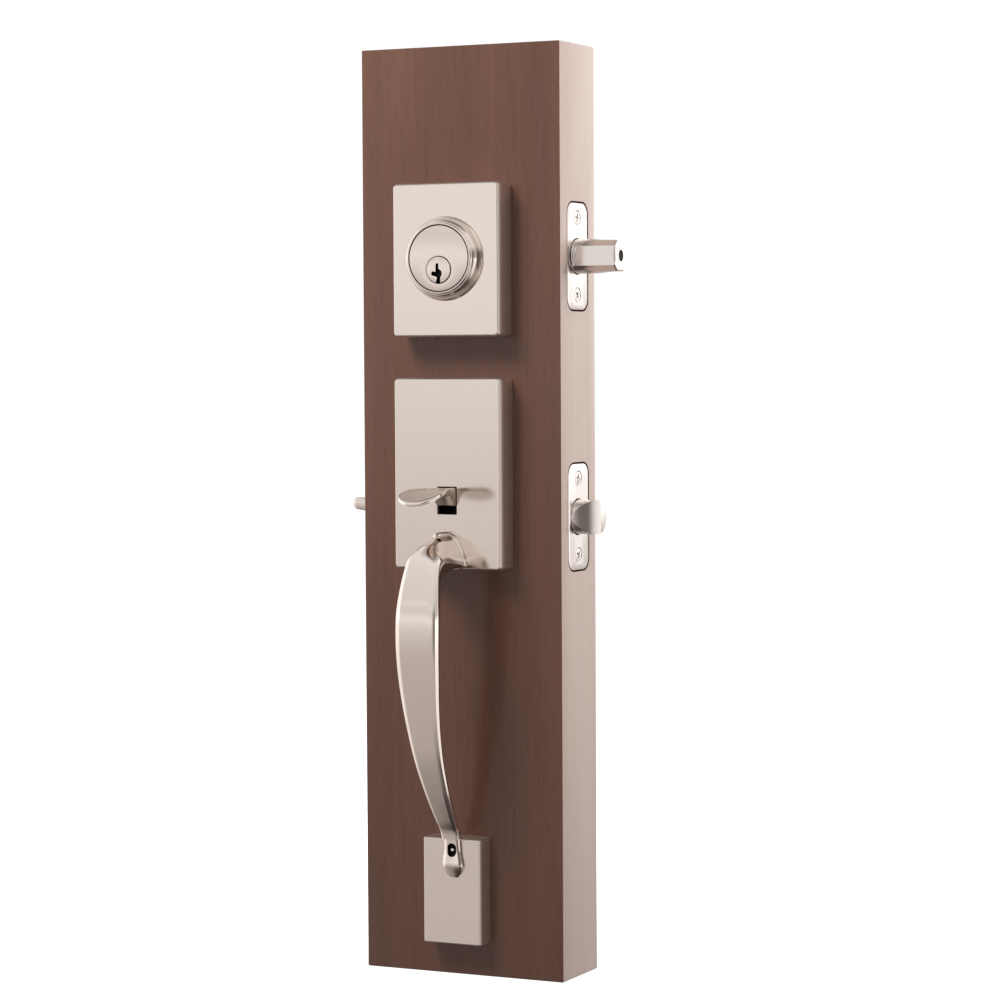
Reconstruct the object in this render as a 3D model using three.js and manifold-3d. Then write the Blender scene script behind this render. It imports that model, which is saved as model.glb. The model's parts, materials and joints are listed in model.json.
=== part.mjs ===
// Entry handleset with a single-cylinder deadbolt, fitted to a short section of door.
// Millimetres, +Z up.  X = 0 is the vertical centre line of the cross bores, +X points at the
// door's lock edge.  Y = 0 is the middle of the door's thickness, -Y is the exterior side.
// Z = 0 is the bottom of the door section.
import * as THREE from 'three';
import { mergeVertices } from 'three/addons/utils/BufferGeometryUtils.js';
import Module from 'manifold-3d';

const wasm = await Module();
wasm.setup();

// ---------- driving dimensions ----------
const BACKSET = 60.325;
const HINGE_SIDE = -58.4; // where the section is cut on the hinge side
const DOOR_THICKNESS = 44.45;
const DOOR_HEIGHT = 502;
const OUT = -DOOR_THICKNESS / 2; // exterior face of the door
const INN = DOOR_THICKNESS / 2; // interior face of the door
const EDGE = BACKSET; // lock edge of the door

const BOLT_Z = 388.5; // deadbolt bore centre
const LATCH_Z = BOLT_Z - 139.7; // latch bore centre
const BORE_RADIUS = 27;
const EDGE_BORE_RADIUS = 12.7;
const BORE_LIMIT = 26; // radius that everything inside a cross bore stays within

const TURN_Z = BOLT_Z - 7.2; // axis of plug, tailpiece, crank and thumbturn
const CYLINDER_Z = BOLT_Z - 1;
const CYLINDER_RADIUS = 17.44;
const CYLINDER_FRONT = OUT - 23.7;
const CYLINDER_BACK = -16;
const PLUG_RADIUS = 7.1;

const ROSE = { width: 63.7, height: 82.4, depth: 16, z: BOLT_Z - 1.6 };
const PLATE = { width: 64.2, height: 102.9, depth: 15.3, z: 272.55 };
const FOOT = { width: 34.5, height: 57.8, depth: 12.8, z: 47.2 };
const INNER_ROSE = { width: 63.7, height: 82.4, depth: 12.5, z: BOLT_Z - 1.6 };
const LEVER_ROSE = { width: 66, height: 66, depth: 12, z: LATCH_Z };
const SHELL = 2; // wall of the cast trim
const SEAT = 0.1; // clearance between faces that rest on each other
const GAP = 0.3; // clearance of cut or turned neighbours

const FACEPLATE = { width: 25.4, height: 57.15, thickness: 2.4, corner: 6.35 };
const BACKPLATE_THICKNESS = 1.5;
const MORTISE_MARGIN = 0.45;
const SCREW_SPACING = 41.3;

const BOLT_RADIUS = 9.3;
const BOLT_THROW = 25.4;
const BOLT_FLAT = 7.7; // distance of the side flats from the bolt's axis
const LATCH_RADIUS = 9.35;
const LATCH_THROW = 12.6;
const LATCH_TRAVEL = 12.7;
const SLEEVE_INNER = 9.8;
const SLEEVE_OUTER = 11.2;
const CASE_WALL = 1.2;
const CRANK_ARM = { y: 2.2, thickness: 2.5, width: 7.6, pin: 1.5, slot: 0.8 };

const SPINDLE = 7.4; // across flats
const TAILPIECE = { width: 5.6, thickness: 2 };
const DEADBOLT_SCREW_X = 12;
const LEVER_SCREW = { x: 17, z: LATCH_Z - 14 };
const THUMB_PIVOT = { y: -31, z: LATCH_Z + 11.2 };
const THUMB_STEM = 11; // width of the thumb latch's stem
const THUMB_SLOT = { width: 11.8, bottom: 250.7, top: 265.7 };
const HANDLE_SCREW_Z = 230;
const FOOT_SCREW_Z = 70.2;
const FOOT_SCREW_X = 2.2;

const ROUND = 28; // facets of a large round
const SMALL = 10; // facets of a screw or pin

// ---------- finishes ----------
const FINISHES = {
  wood: { color: 0x5f3f34, roughness: 0.55, metalness: 0 },
  nickel: { color: 0xcfc2b8, roughness: 0.32, metalness: 1 },
  steel: { color: 0xd9d9dc, roughness: 0.3, metalness: 1 },
  zinc: { color: 0xa9abad, roughness: 0.45, metalness: 1 },
  brass: { color: 0xc7a668, roughness: 0.35, metalness: 1 },
  spring: { color: 0x8d8f92, roughness: 0.4, metalness: 1 },
  hardened: { color: 0x2c2b2b, roughness: 0.4, metalness: 1 },
};

// ---------- geometry helpers ----------
// Merge a geometry into one indexed surface whose faces point outwards.
function closed(source) {
  const geometry = source.clone();
  geometry.deleteAttribute('normal');
  geometry.deleteAttribute('uv');
  const merged = mergeVertices(geometry, 1e-4);
  const position = merged.attributes.position;
  const index = Array.from(merged.index.array);
  const faces = [];
  let volume = 0;
  const [a, b, c] = [new THREE.Vector3(), new THREE.Vector3(), new THREE.Vector3()];
  for (let i = 0; i < index.length; i += 3) {
    const [p, q, r] = index.slice(i, i + 3);
    if (p === q || q === r || r === p) continue;
    faces.push([p, q, r]);
    a.fromBufferAttribute(position, p);
    b.fromBufferAttribute(position, q);
    c.fromBufferAttribute(position, r);
    volume += a.dot(b.cross(c));
  }
  merged.setIndex(faces.flatMap((face) => (volume < 0 ? face.reverse() : face)));
  return merged;
}

function solid(geometry) {
  const merged = closed(geometry);
  const vertProperties = new Float32Array(merged.attributes.position.array);
  const triVerts = new Uint32Array(merged.index.array);
  return new wasm.Manifold(new wasm.Mesh({ numProp: 3, vertProperties, triVerts }));
}

function surface(manifold) {
  const mesh = manifold.getMesh();
  const geometry = new THREE.BufferGeometry();
  geometry.setAttribute('position', new THREE.BufferAttribute(mesh.vertProperties, 3));
  geometry.setIndex(new THREE.BufferAttribute(mesh.triVerts, 1));
  return geometry;
}

const join = (first, ...others) =>
  surface(others.reduce((sum, other) => sum.add(solid(other)), solid(first)));
const cut = (body, ...tools) =>
  surface(tools.reduce((rest, tool) => rest.subtract(solid(tool)), solid(body)));
const common = (first, second) => surface(solid(first).intersect(solid(second)));

// A box between two corners.
function box(x0, x1, y0, y1, z0, z1) {
  const geometry = new THREE.BoxGeometry(x1 - x0, y1 - y0, z1 - z0);
  return geometry.translate((x0 + x1) / 2, (y0 + y1) / 2, (z0 + z1) / 2);
}

// Rods along each axis, named by their axis and the two coordinates across it.
function rodY(x, z, radius, y0, y1, facets = SMALL) {
  const geometry = new THREE.CylinderGeometry(radius, radius, y1 - y0, facets);
  return geometry.translate(x, (y0 + y1) / 2, z);
}

function rodX(y, z, radius, x0, x1, facets = SMALL) {
  const geometry = new THREE.CylinderGeometry(radius, radius, x1 - x0, facets);
  return geometry.rotateZ(-Math.PI / 2).translate((x0 + x1) / 2, y, z);
}

function rodZ(x, y, radius, z0, z1, facets = SMALL) {
  const geometry = new THREE.CylinderGeometry(radius, radius, z1 - z0, facets);
  return geometry.rotateX(Math.PI / 2).translate(x, y, (z0 + z1) / 2);
}

// A prism along Y from a shape drawn in X and Z.
function prismY(shape, y0, y1, bevel = 0, facets = 3) {
  const geometry = new THREE.ExtrudeGeometry(shape, {
    depth: y1 - y0 - 2 * bevel,
    bevelEnabled: bevel > 0,
    bevelThickness: bevel,
    bevelSize: bevel,
    bevelOffset: -bevel,
    bevelSegments: 1,
    curveSegments: facets,
  });
  return geometry.rotateX(Math.PI / 2).translate(0, y1 - bevel, 0);
}

// A prism along X from a shape drawn in Y and Z.
function prismX(shape, x0, x1, facets = 3) {
  const geometry = new THREE.ExtrudeGeometry(shape, {
    depth: x1 - x0,
    bevelEnabled: false,
    curveSegments: facets,
  });
  const basis = new THREE.Matrix4().makeBasis(
    new THREE.Vector3(0, 1, 0), new THREE.Vector3(0, 0, 1), new THREE.Vector3(1, 0, 0));
  return geometry.applyMatrix4(basis).translate(x0, 0, 0);
}

// A rectangle with round corners, centred on (u, v).
function roundedRect(u, v, width, height, radius) {
  const shape = new THREE.Shape();
  const [left, right] = [u - width / 2, u + width / 2];
  const [low, high] = [v - height / 2, v + height / 2];
  shape.moveTo(left + radius, low);
  shape.lineTo(right - radius, low);
  shape.absarc(right - radius, low + radius, radius, -Math.PI / 2, 0);
  shape.lineTo(right, high - radius);
  shape.absarc(right - radius, high - radius, radius, 0, Math.PI / 2);
  shape.lineTo(left + radius, high);
  shape.absarc(left + radius, high - radius, radius, Math.PI / 2, Math.PI);
  shape.lineTo(left, low + radius);
  shape.absarc(left + radius, low + radius, radius, Math.PI, 1.5 * Math.PI);
  return shape;
}

// A closed outline through corner points.
function polygon(points) {
  return new THREE.Shape(points.map(([u, v]) => new THREE.Vector2(u, v)));
}

// A turned piece about an axis along Y; the profile is (radius, y) pairs and closes on itself.
function turnedY(x, z, profile, facets = ROUND) {
  const loop = [...profile, profile[0]].map(([radius, y]) => new THREE.Vector2(radius, y));
  return new THREE.LatheGeometry(loop, facets).translate(x, 0, z);
}

// Turn a geometry drawn about the Y axis so that its +Y points along another direction.
function aim(geometry, direction, x, y, z) {
  const turn = new THREE.Quaternion().setFromUnitVectors(new THREE.Vector3(0, 1, 0), direction);
  return geometry.applyQuaternion(turn).translate(x, y, z);
}

// A closed skin over rings that all have the same number of points.
function loft(rings) {
  const count = rings[0].length;
  const positions = rings.flat().flat();
  const index = [];
  for (let ring = 0; ring + 1 < rings.length; ring++) {
    for (let i = 0; i < count; i++) {
      const a = ring * count + i;
      const b = ring * count + ((i + 1) % count);
      index.push(a, b, a + count, b, b + count, a + count);
    }
  }
  for (const [ring, flip] of [[0, true], [rings.length - 1, false]]) {
    const centre = positions.length / 3;
    const points = rings[ring];
    positions.push(...[0, 1, 2].map((k) => points.reduce((sum, p) => sum + p[k], 0) / count));
    for (let i = 0; i < count; i++) {
      const [a, b] = [ring * count + i, ring * count + ((i + 1) % count)];
      index.push(...(flip ? [b, a, centre] : [a, b, centre]));
    }
  }
  const geometry = new THREE.BufferGeometry();
  geometry.setAttribute('position', new THREE.Float32BufferAttribute(positions, 3));
  geometry.setIndex(index);
  return geometry;
}

// A coil spring about the Y axis, from y = 0 to y = length.
function coil(radius, wire, length, turns, stepsPerTurn = 10) {
  class Helix extends THREE.Curve {
    getPoint(t, target = new THREE.Vector3()) {
      const angle = 2 * Math.PI * turns * t;
      return target.set(radius * Math.cos(angle), wire + (length - 2 * wire) * t,
        radius * Math.sin(angle));
    }
  }
  const section = new THREE.Shape().absarc(0, 0, wire, 0, 2 * Math.PI);
  return new THREE.ExtrudeGeometry(section, {
    steps: Math.round(turns * stepsPerTurn),
    curveSegments: 3,
    extrudePath: new Helix(),
  });
}

// A screw along +Y whose head ends at y = 0; a countersunk head is a cone, a pan head a disc.
function screw({ head, headHeight, shank, length, countersunk = false }) {
  const under = countersunk ? [[head, -0.4], [shank, -headHeight]]
    : [[head, -headHeight], [shank, -headHeight]];
  const top = countersunk ? [[head, 0]] : [[head - 0.7, 0], [head, -0.7]];
  const profile = [[0, 0], ...top, ...under, [shank, -length + shank], [0.3, -length], [0, -length]];
  const body = new THREE.LatheGeometry(profile.map(([r, y]) => new THREE.Vector2(r, y)), SMALL);
  const [long, short, deep] = [head * 0.55, 0.45, 1.2];
  return cut(body, box(-long, long, -deep, 1, -short, short), box(-short, short, -deep, 1, -long, long));
}

const TOWARDS = {
  exterior: new THREE.Vector3(0, -1, 0),
  interior: new THREE.Vector3(0, 1, 0),
  edge: new THREE.Vector3(1, 0, 0),
};

// ---------- assembly ----------
const handleset = new THREE.Group();

function place(group, name, finish, geometry) {
  const mesh = new THREE.Mesh(closed(geometry), new THREE.MeshStandardMaterial(FINISHES[finish]));
  mesh.name = name;
  group.add(mesh);
}

function assembly() {
  const group = new THREE.Group();
  handleset.add(group);
  return group;
}

// ---------- door section ----------
const faceplateScrewHeights = (centre) => ({
  top: centre + SCREW_SPACING / 2,
  bottom: centre - SCREW_SPACING / 2,
});

const FOOT_SCREW = { length: 38, front: OUT - FOOT.depth - 3.6 };

function doorSection() {
  const blank = box(HINGE_SIDE, EDGE, OUT, INN, 0, DOOR_HEIGHT);
  const cuts = [];
  const mortiseDepth = FACEPLATE.thickness + BACKPLATE_THICKNESS + 2 * SEAT;
  for (const centre of [BOLT_Z, LATCH_Z]) {
    cuts.push(rodY(0, centre, BORE_RADIUS, OUT - 1, INN + 1, ROUND + 4));
    cuts.push(rodX(0, centre, EDGE_BORE_RADIUS, 5, EDGE + 1, ROUND));
    cuts.push(prismX(roundedRect(0, centre, FACEPLATE.width + 2 * MORTISE_MARGIN,
      FACEPLATE.height + 2 * MORTISE_MARGIN, FACEPLATE.corner + MORTISE_MARGIN),
    EDGE - mortiseDepth, EDGE + 1));
    for (const z of Object.values(faceplateScrewHeights(centre))) {
      cuts.push(rodX(0, z, 2.2, EDGE - 21, EDGE));
    }
  }
  cuts.push(rodY(FOOT_SCREW_X, FOOT_SCREW_Z, 2.4, OUT - 1, FOOT_SCREW.front + FOOT_SCREW.length + 1));
  return cut(blank, ...cuts);
}

place(handleset, 'door_section', 'wood', doorSection());

// ---------- trim shells ----------
// A cast shell open at the door side; side is -1 outside the door and +1 inside.
function trimShell({ width, height, depth, z }, side, ...extra) {
  const seat = side < 0 ? OUT - SEAT : INN + SEAT;
  const front = side < 0 ? OUT - depth : INN + depth;
  const inner = front - side * SHELL;
  const outside = prismY(roundedRect(0, z, width, height, 1.4), Math.min(seat, front),
    Math.max(seat, front), 0.7);
  const hollow = box(-width / 2 + SHELL, width / 2 - SHELL,
    Math.min(seat + -side, inner), Math.max(seat + -side, inner),
    z - height / 2 + SHELL, z + height / 2 - SHELL);
  const squareBack = box(-width / 2 + 0.7, width / 2 - 0.7, Math.min(seat, seat + side),
    Math.max(seat, seat + side), z - height / 2 + 0.7, z + height / 2 - 0.7);
  return cut(join(outside, squareBack), hollow, ...extra);
}

// ---------- faceplate, backplate and their screws ----------
function edgePlates(group, prefix, centre, holeRadius) {
  const heights = faceplateScrewHeights(centre);
  const outline = () => roundedRect(0, centre, FACEPLATE.width, FACEPLATE.height, FACEPLATE.corner);
  const faceBack = EDGE - FACEPLATE.thickness;
  const plateBack = faceBack - SEAT - BACKPLATE_THICKNESS;
  const sinks = Object.values(heights).map((z) =>
    aim(new THREE.CylinderGeometry(4.5, 2.1, 2.5, SMALL), TOWARDS.edge, EDGE - 1.2, 0, z));
  const holes = Object.values(heights).map((z) => rodX(0, z, 2.2, plateBack - 1, EDGE + 1));
  place(group, `${prefix}_faceplate`, 'steel', cut(prismX(outline(), faceBack, EDGE, 4),
    rodX(0, centre, holeRadius, faceBack - 1, EDGE + 1, ROUND), ...sinks, ...holes));
  place(group, `${prefix}_backplate`, 'zinc', cut(prismX(outline(), plateBack, faceBack - SEAT, 4),
    rodX(0, centre, holeRadius, plateBack - 1, faceBack + 1, ROUND), ...holes));
  for (const [end, z] of Object.entries(heights)) {
    const geometry = screw({ head: 3.9, headHeight: 2.4, shank: 1.8, length: 20, countersunk: true });
    place(group, `${prefix}_faceplate_screw_${end}`, 'steel',
      aim(geometry, TOWARDS.edge, EDGE - 0.1, 0, z));
  }
}

// The sleeve in the edge bore that guides a bolt.
function sleeve(centre, x0, lip) {
  const x1 = EDGE - FACEPLATE.thickness - BACKPLATE_THICKNESS - 3 * SEAT;
  const tube = cut(rodX(0, centre, SLEEVE_OUTER, x0, x1, ROUND),
    rodX(0, centre, SLEEVE_INNER, x0 + lip, x1 + 1, ROUND));
  if (lip === 0) return tube;
  return cut(tube, rodX(0, centre, 6.9, x0 - 1, x0 + lip + 1, ROUND),
    box(x0 - 1, x0 + lip + 1, -2.2, 2.2, centre - 4.4, centre + SLEEVE_INNER));
}

// The stamped case in the cross bore: side walls with top and bottom webs, open at both ends.
function bolt_case(axisZ, centre, half, x0, x1, low, high, journal, screwX) {
  const inner = half - CASE_WALL;
  const outer = common(box(x0, x1, -half, half, low, high),
    rodY(0, centre, BORE_LIMIT, -half - 1, half + 1, ROUND));
  const tools = [
    common(box(x0 - 1, x1 + 1, -inner, inner, low + CASE_WALL, high - CASE_WALL),
      rodY(0, centre, BORE_LIMIT + 3, -half, half, ROUND)),
    rodY(0, axisZ, journal + GAP, -half - 1, half + 1, ROUND),
  ];
  for (const x of screwX) tools.push(rodY(x, axisZ, 2.6, -half - 1, half + 1));
  return cut(outer, ...tools);
}

// A crank: a hub on the Y axis, an arm and a pin that runs in the bolt tail's slot.
// It is drawn with the arm upright and turned about its hub to its rest angle.
function crank({ hub, hubHalf, journal, journalHalf, reach, rest, socket }) {
  const { y, thickness, width, pin } = CRANK_ARM;
  const body = join(
    rodY(0, 0, hub, -hubHalf, hubHalf, 18),
    rodY(0, 0, journal, -journalHalf, journalHalf, 18),
    prismY(roundedRect(0, reach / 2, width, reach + width * 0.85, width / 2 - 0.4), y, y + thickness),
    rodY(0, reach, pin, -CRANK_ARM.y, y + 0.5));
  return cut(body.rotateY(rest), box(-socket[0] / 2, socket[0] / 2, -journalHalf - 1,
    journalHalf + 1, -socket[1] / 2, socket[1] / 2));
}

// ---------- deadbolt: outside ----------
const outside = assembly();

const collarHole = rodY(0, CYLINDER_Z, 20.8, OUT - ROSE.depth - 1, OUT, ROUND);
place(outside, 'deadbolt_rose', 'nickel', trimShell(ROSE, -1, collarHole));

const roseFront = OUT - ROSE.depth;
place(outside, 'cylinder_collar', 'nickel', turnedY(0, CYLINDER_Z, [
  [17.9, roseFront + 4], [20.4, roseFront + 4], [20.4, roseFront - SEAT],
  [22.6, roseFront - SEAT], [22.6, roseFront - 0.9], [21.7, roseFront - 1.6],
  [21.2, roseFront - 3.6], [20.3, roseFront - 5.6], [19.5, roseFront - 7],
  [18.9, roseFront - 7.3], [18.4, roseFront - 7.8], [17.9, roseFront - 7.8],
], ROUND + 4));

const PIN_ROWS = [1, 2, 3, 4, 5].map((number) => ({ number, y: CYLINDER_FRONT + 2 + 4 * number }));
const PIN = { radius: 1.4, hole: 1.65 };
const PLUG_TOP = TURN_Z + PLUG_RADIUS;

place(outside, 'cylinder_body', 'nickel', cut(
  rodY(0, CYLINDER_Z, CYLINDER_RADIUS, CYLINDER_FRONT, CYLINDER_BACK, ROUND + 4),
  rodY(0, TURN_Z, PLUG_RADIUS + 0.4, CYLINDER_FRONT - 1, CYLINDER_BACK + 1, ROUND),
  ...PIN_ROWS.map(({ y }) => rodZ(0, y, PIN.hole, PLUG_TOP - 1, PLUG_TOP + 12, 10)),
  ...[-1, 1].map((side) => rodY(side * DEADBOLT_SCREW_X, TURN_Z, 2.25, CYLINDER_BACK - 10,
    CYLINDER_BACK + 1))));

const KEYWAY = { width: 2, top: TURN_Z + 3.1, depth: 24 };
const plugFront = CYLINDER_FRONT - 0.3;
const plugBack = CYLINDER_BACK - 1;
place(outside, 'cylinder_plug', 'nickel', cut(
  rodY(0, TURN_Z, PLUG_RADIUS, plugFront, plugBack, ROUND),
  box(-0.9, -0.9 + KEYWAY.width, plugFront - 1, plugFront + KEYWAY.depth, TURN_Z - 8, KEYWAY.top),
  box(-3, 0.5, plugFront - 1, plugFront + KEYWAY.depth, TURN_Z - 3.6, TURN_Z - 0.7),
  box(0.5, 2.4, plugFront - 1, plugFront + KEYWAY.depth, TURN_Z - 4.4, TURN_Z - 1.6),
  ...PIN_ROWS.map(({ y }) => rodZ(0, y, PIN.hole, TURN_Z - 2, PLUG_TOP + 1, 10)),
  box(-1.3, 1.3, plugBack - 4, plugBack + 1, TURN_Z - 3.1, TURN_Z + 3.1)));

for (const { number, y } of PIN_ROWS) {
  const keyLength = 6 + (number % 3) * 0.8;
  place(outside, `key_pin_${number}`, 'brass',
    rodZ(0, y, PIN.radius, PLUG_TOP - 0.3 - keyLength, PLUG_TOP - 0.3, 8));
  place(outside, `driver_pin_${number}`, 'brass',
    rodZ(0, y, PIN.radius, PLUG_TOP + 0.5, PLUG_TOP + 5.5, 8));
}

const tailpieceSocket = [TAILPIECE.thickness + 2 * GAP, TAILPIECE.width + 2 * GAP];
place(outside, 'plug_cap', 'brass', cut(
  rodY(0, TURN_Z, 9, CYLINDER_BACK + GAP, CYLINDER_BACK + 3, 24),
  box(-tailpieceSocket[0] / 2, tailpieceSocket[0] / 2, CYLINDER_BACK - 1, CYLINDER_BACK + 4,
    TURN_Z - tailpieceSocket[1] / 2, TURN_Z + tailpieceSocket[1] / 2)));
place(outside, 'tailpiece', 'zinc', box(-TAILPIECE.thickness / 2, TAILPIECE.thickness / 2,
  plugBack - 3.5, INN + 9, TURN_Z - TAILPIECE.width / 2, TURN_Z + TAILPIECE.width / 2));

// ---------- deadbolt: bolt in the door ----------
const bolt = assembly();
const DEADBOLT_REACH = BOLT_THROW / 2 / Math.sin(Math.PI / 4);
const BOLT_END = EDGE + BOLT_THROW;
const BOLT_BACK = 42;

// The bolt: a round bar with side flats near its end, a tail and an upright slot for the crank pin.
function deadboltBolt() {
  const half = CRANK_ARM.pin + CRANK_ARM.slot;
  const pinX = BOLT_THROW / 2;
  const low = TURN_Z + 7.6;
  const flatStart = EDGE + 5;
  const bar = cut(rodX(0, BOLT_Z, BOLT_RADIUS, BOLT_BACK, BOLT_END, ROUND),
    box(flatStart, BOLT_END + 1, -12, -BOLT_FLAT, BOLT_Z - 12, BOLT_Z + 12),
    box(flatStart, BOLT_END + 1, BOLT_FLAT, 12, BOLT_Z - 12, BOLT_Z + 12),
    rodX(0, BOLT_Z, 3.3, BOLT_END - 22, BOLT_END + 1));
  const tail = polygon([[pinX - half - 3, low], [BOLT_BACK + 2, low], [BOLT_BACK + 2, low + 7],
    [20, low + 7], [pinX + half + 2.5, low + 15], [pinX - half - 3, low + 15]]);
  const slot = box(pinX - half, pinX + half, -3, 3, TURN_Z + DEADBOLT_REACH * Math.SQRT1_2 - half - 0.6,
    TURN_Z + DEADBOLT_REACH + half + 0.2);
  return cut(join(bar, prismY(tail, -1.5, 1.5)), slot);
}

place(bolt, 'deadbolt_bolt', 'steel', deadboltBolt());
place(bolt, 'bolt_anti_saw_pin', 'hardened', rodX(0, BOLT_Z, 3, BOLT_END - 21, BOLT_END - 0.6));
place(bolt, 'deadbolt_sleeve', 'zinc', sleeve(BOLT_Z, 27.5, 0));
place(bolt, 'deadbolt_case', 'zinc', bolt_case(TURN_Z, BOLT_Z, 10.9, -21, 26.5,
  TURN_Z - 9.5, TURN_Z + 25.1, 5, [-DEADBOLT_SCREW_X, DEADBOLT_SCREW_X]));
place(bolt, 'deadbolt_crank', 'zinc', crank({
  hub: 6.4, hubHalf: 9.3, journal: 5, journalHalf: 11.6, reach: DEADBOLT_REACH,
  rest: Math.PI / 4, socket: tailpieceSocket,
}).translate(0, 0, TURN_Z));
edgePlates(bolt, 'deadbolt', BOLT_Z, BOLT_RADIUS + 0.4);

// ---------- deadbolt: inside ----------
const inside = assembly();
const mountingPlate = { near: INN + SEAT, far: INN + SEAT + 2.2 };

place(inside, 'deadbolt_mounting_plate', 'zinc', cut(
  prismY(roundedRect(0, INNER_ROSE.z, 58, 70, 6), mountingPlate.near, mountingPlate.far),
  rodY(0, TURN_Z, 7.5, INN - 1, INN + 5, 20),
  ...[-1, 1].map((side) => rodY(side * DEADBOLT_SCREW_X, TURN_Z, 2.5, INN - 1, INN + 5))));

const panScrew = { head: 4.2, headHeight: 2.5, shank: 2 };
for (const [end, side] of [['left', -1], ['right', 1]]) {
  const head = mountingPlate.far + SEAT + panScrew.headHeight;
  const length = head - (CYLINDER_BACK - 8.5);
  place(inside, `deadbolt_through_screw_${end}`, 'steel',
    aim(screw({ ...panScrew, length }), TOWARDS.interior, side * DEADBOLT_SCREW_X, head, TURN_Z));
}

place(inside, 'deadbolt_inner_rose', 'nickel',
  trimShell(INNER_ROSE, 1, rodY(0, TURN_Z, 6.2, INN, INN + INNER_ROSE.depth + 1, 24)));

// The thumbturn: a shaft with a clip groove, a round boss and a wing with rounded ends.
function thumbturn() {
  const front = INN + INNER_ROSE.depth;
  const wing = roundedRect(0, front + 11, 34, 16, 5);
  const blade = new THREE.ExtrudeGeometry(wing, {
    depth: 4.6, bevelThickness: 1.2, bevelSize: 1.2, bevelOffset: -1.2, bevelSegments: 1, curveSegments: 3,
  }).translate(0, 0, TURN_Z - 2.3);
  return cut(
    join(turnedY(0, TURN_Z, [[0, INN + 5], [5.8, INN + 5], [5.8, front - 3.3], [5.1, front - 3.3],
      [5.1, front - 1.9], [5.8, front - 1.9], [5.8, front + GAP], [12, front + GAP],
      [12, front + 2.4], [10.6, front + 4.4], [0, front + 4.4]], 20), blade),
    box(-tailpieceSocket[0] / 2, tailpieceSocket[0] / 2, INN, INN + 10,
      TURN_Z - tailpieceSocket[1] / 2, TURN_Z + tailpieceSocket[1] / 2));
}

// A retaining ring with a gap, lying in the groove of a shaft behind a trim shell.
function retainingRing(z, shaftRadius, outerRadius, y0, y1) {
  const ring = turnedY(0, z, [[shaftRadius, y0], [outerRadius, y0], [outerRadius, y1],
    [shaftRadius, y1]], 16);
  return cut(ring, box(-2.2, 2.2, y0 - 1, y1 + 1, z - outerRadius - 1, z - shaftRadius * 0.7));
}

place(inside, 'thumbturn', 'nickel', thumbturn());
place(inside, 'thumbturn_clip', 'spring',
  retainingRing(TURN_Z, 5.3, 8.6, INN + INNER_ROSE.depth - 3.2, INN + INNER_ROSE.depth - 2.1));

// ---------- handleset: plate and thumb latch ----------
const grip = assembly();
const plateFront = OUT - PLATE.depth;
const plateWall = plateFront + SHELL;

// The plate: a cast shell with two screw posts and two ears for the thumb latch's pivot pin.
function handlePlate() {
  const shell = trimShell(PLATE, -1,
    box(-THUMB_SLOT.width / 2, THUMB_SLOT.width / 2, plateFront - 1, OUT,
      THUMB_SLOT.bottom, THUMB_SLOT.top),
    rodY(0, HANDLE_SCREW_Z, 2.6, plateFront - 1, OUT));
  const posts = [-1, 1].map((side) =>
    rodY(side * LEVER_SCREW.x, LEVER_SCREW.z, 4, plateWall - 0.5, CYLINDER_BACK + 2, 18));
  const ears = [-1, 1].map((side) => box(side * 8.3 - 1.7, side * 8.3 + 1.7, plateWall - 0.5,
    THUMB_PIVOT.y + 4, THUMB_PIVOT.z - 4, THUMB_PIVOT.z + 4));
  const bores = [-1, 1].map((side) =>
    rodY(side * LEVER_SCREW.x, LEVER_SCREW.z, 2.25, plateWall + 1, CYLINDER_BACK + 3));
  return cut(join(shell, ...posts, ...ears), ...bores,
    rodX(THUMB_PIVOT.y, THUMB_PIVOT.z, 1.8, -11, 11));
}

// One cross-section of the thumb latch's leaf, across X at a distance y from the door.
function leafRing(y, half, top, thickness, dish) {
  const points = [];
  const count = 6;
  for (let i = 0; i <= count; i++) {
    const u = -1 + (2 * i) / count;
    points.push([u * half, y, top - dish * (1 - u * u)]);
  }
  for (let i = count; i >= 0; i--) {
    const u = -1 + (2 * i) / count;
    points.push([u * half * 0.96, y, top - dish * (1 - u * u) - thickness]);
  }
  return points;
}

const LEAF = {
  root: plateFront - 2, widest: -67.5, tip: -80, neck: 5.6, half: 12.2, thickness: 2.8, drop: 6.2,
};

// Half the leaf's width at a distance y: a neck that swells, then a round end.
function leafHalf(y) {
  if (y < LEAF.widest) {
    const t = (LEAF.widest - y) / (LEAF.widest - LEAF.tip);
    return LEAF.half * Math.sqrt(Math.max(0, 1 - t * t));
  }
  const t = (y - LEAF.widest) / (LEAF.root - LEAF.widest);
  return LEAF.neck + (LEAF.half - LEAF.neck) * (0.5 + 0.5 * Math.cos(Math.PI * Math.min(1, t * 1.05)));
}

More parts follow.
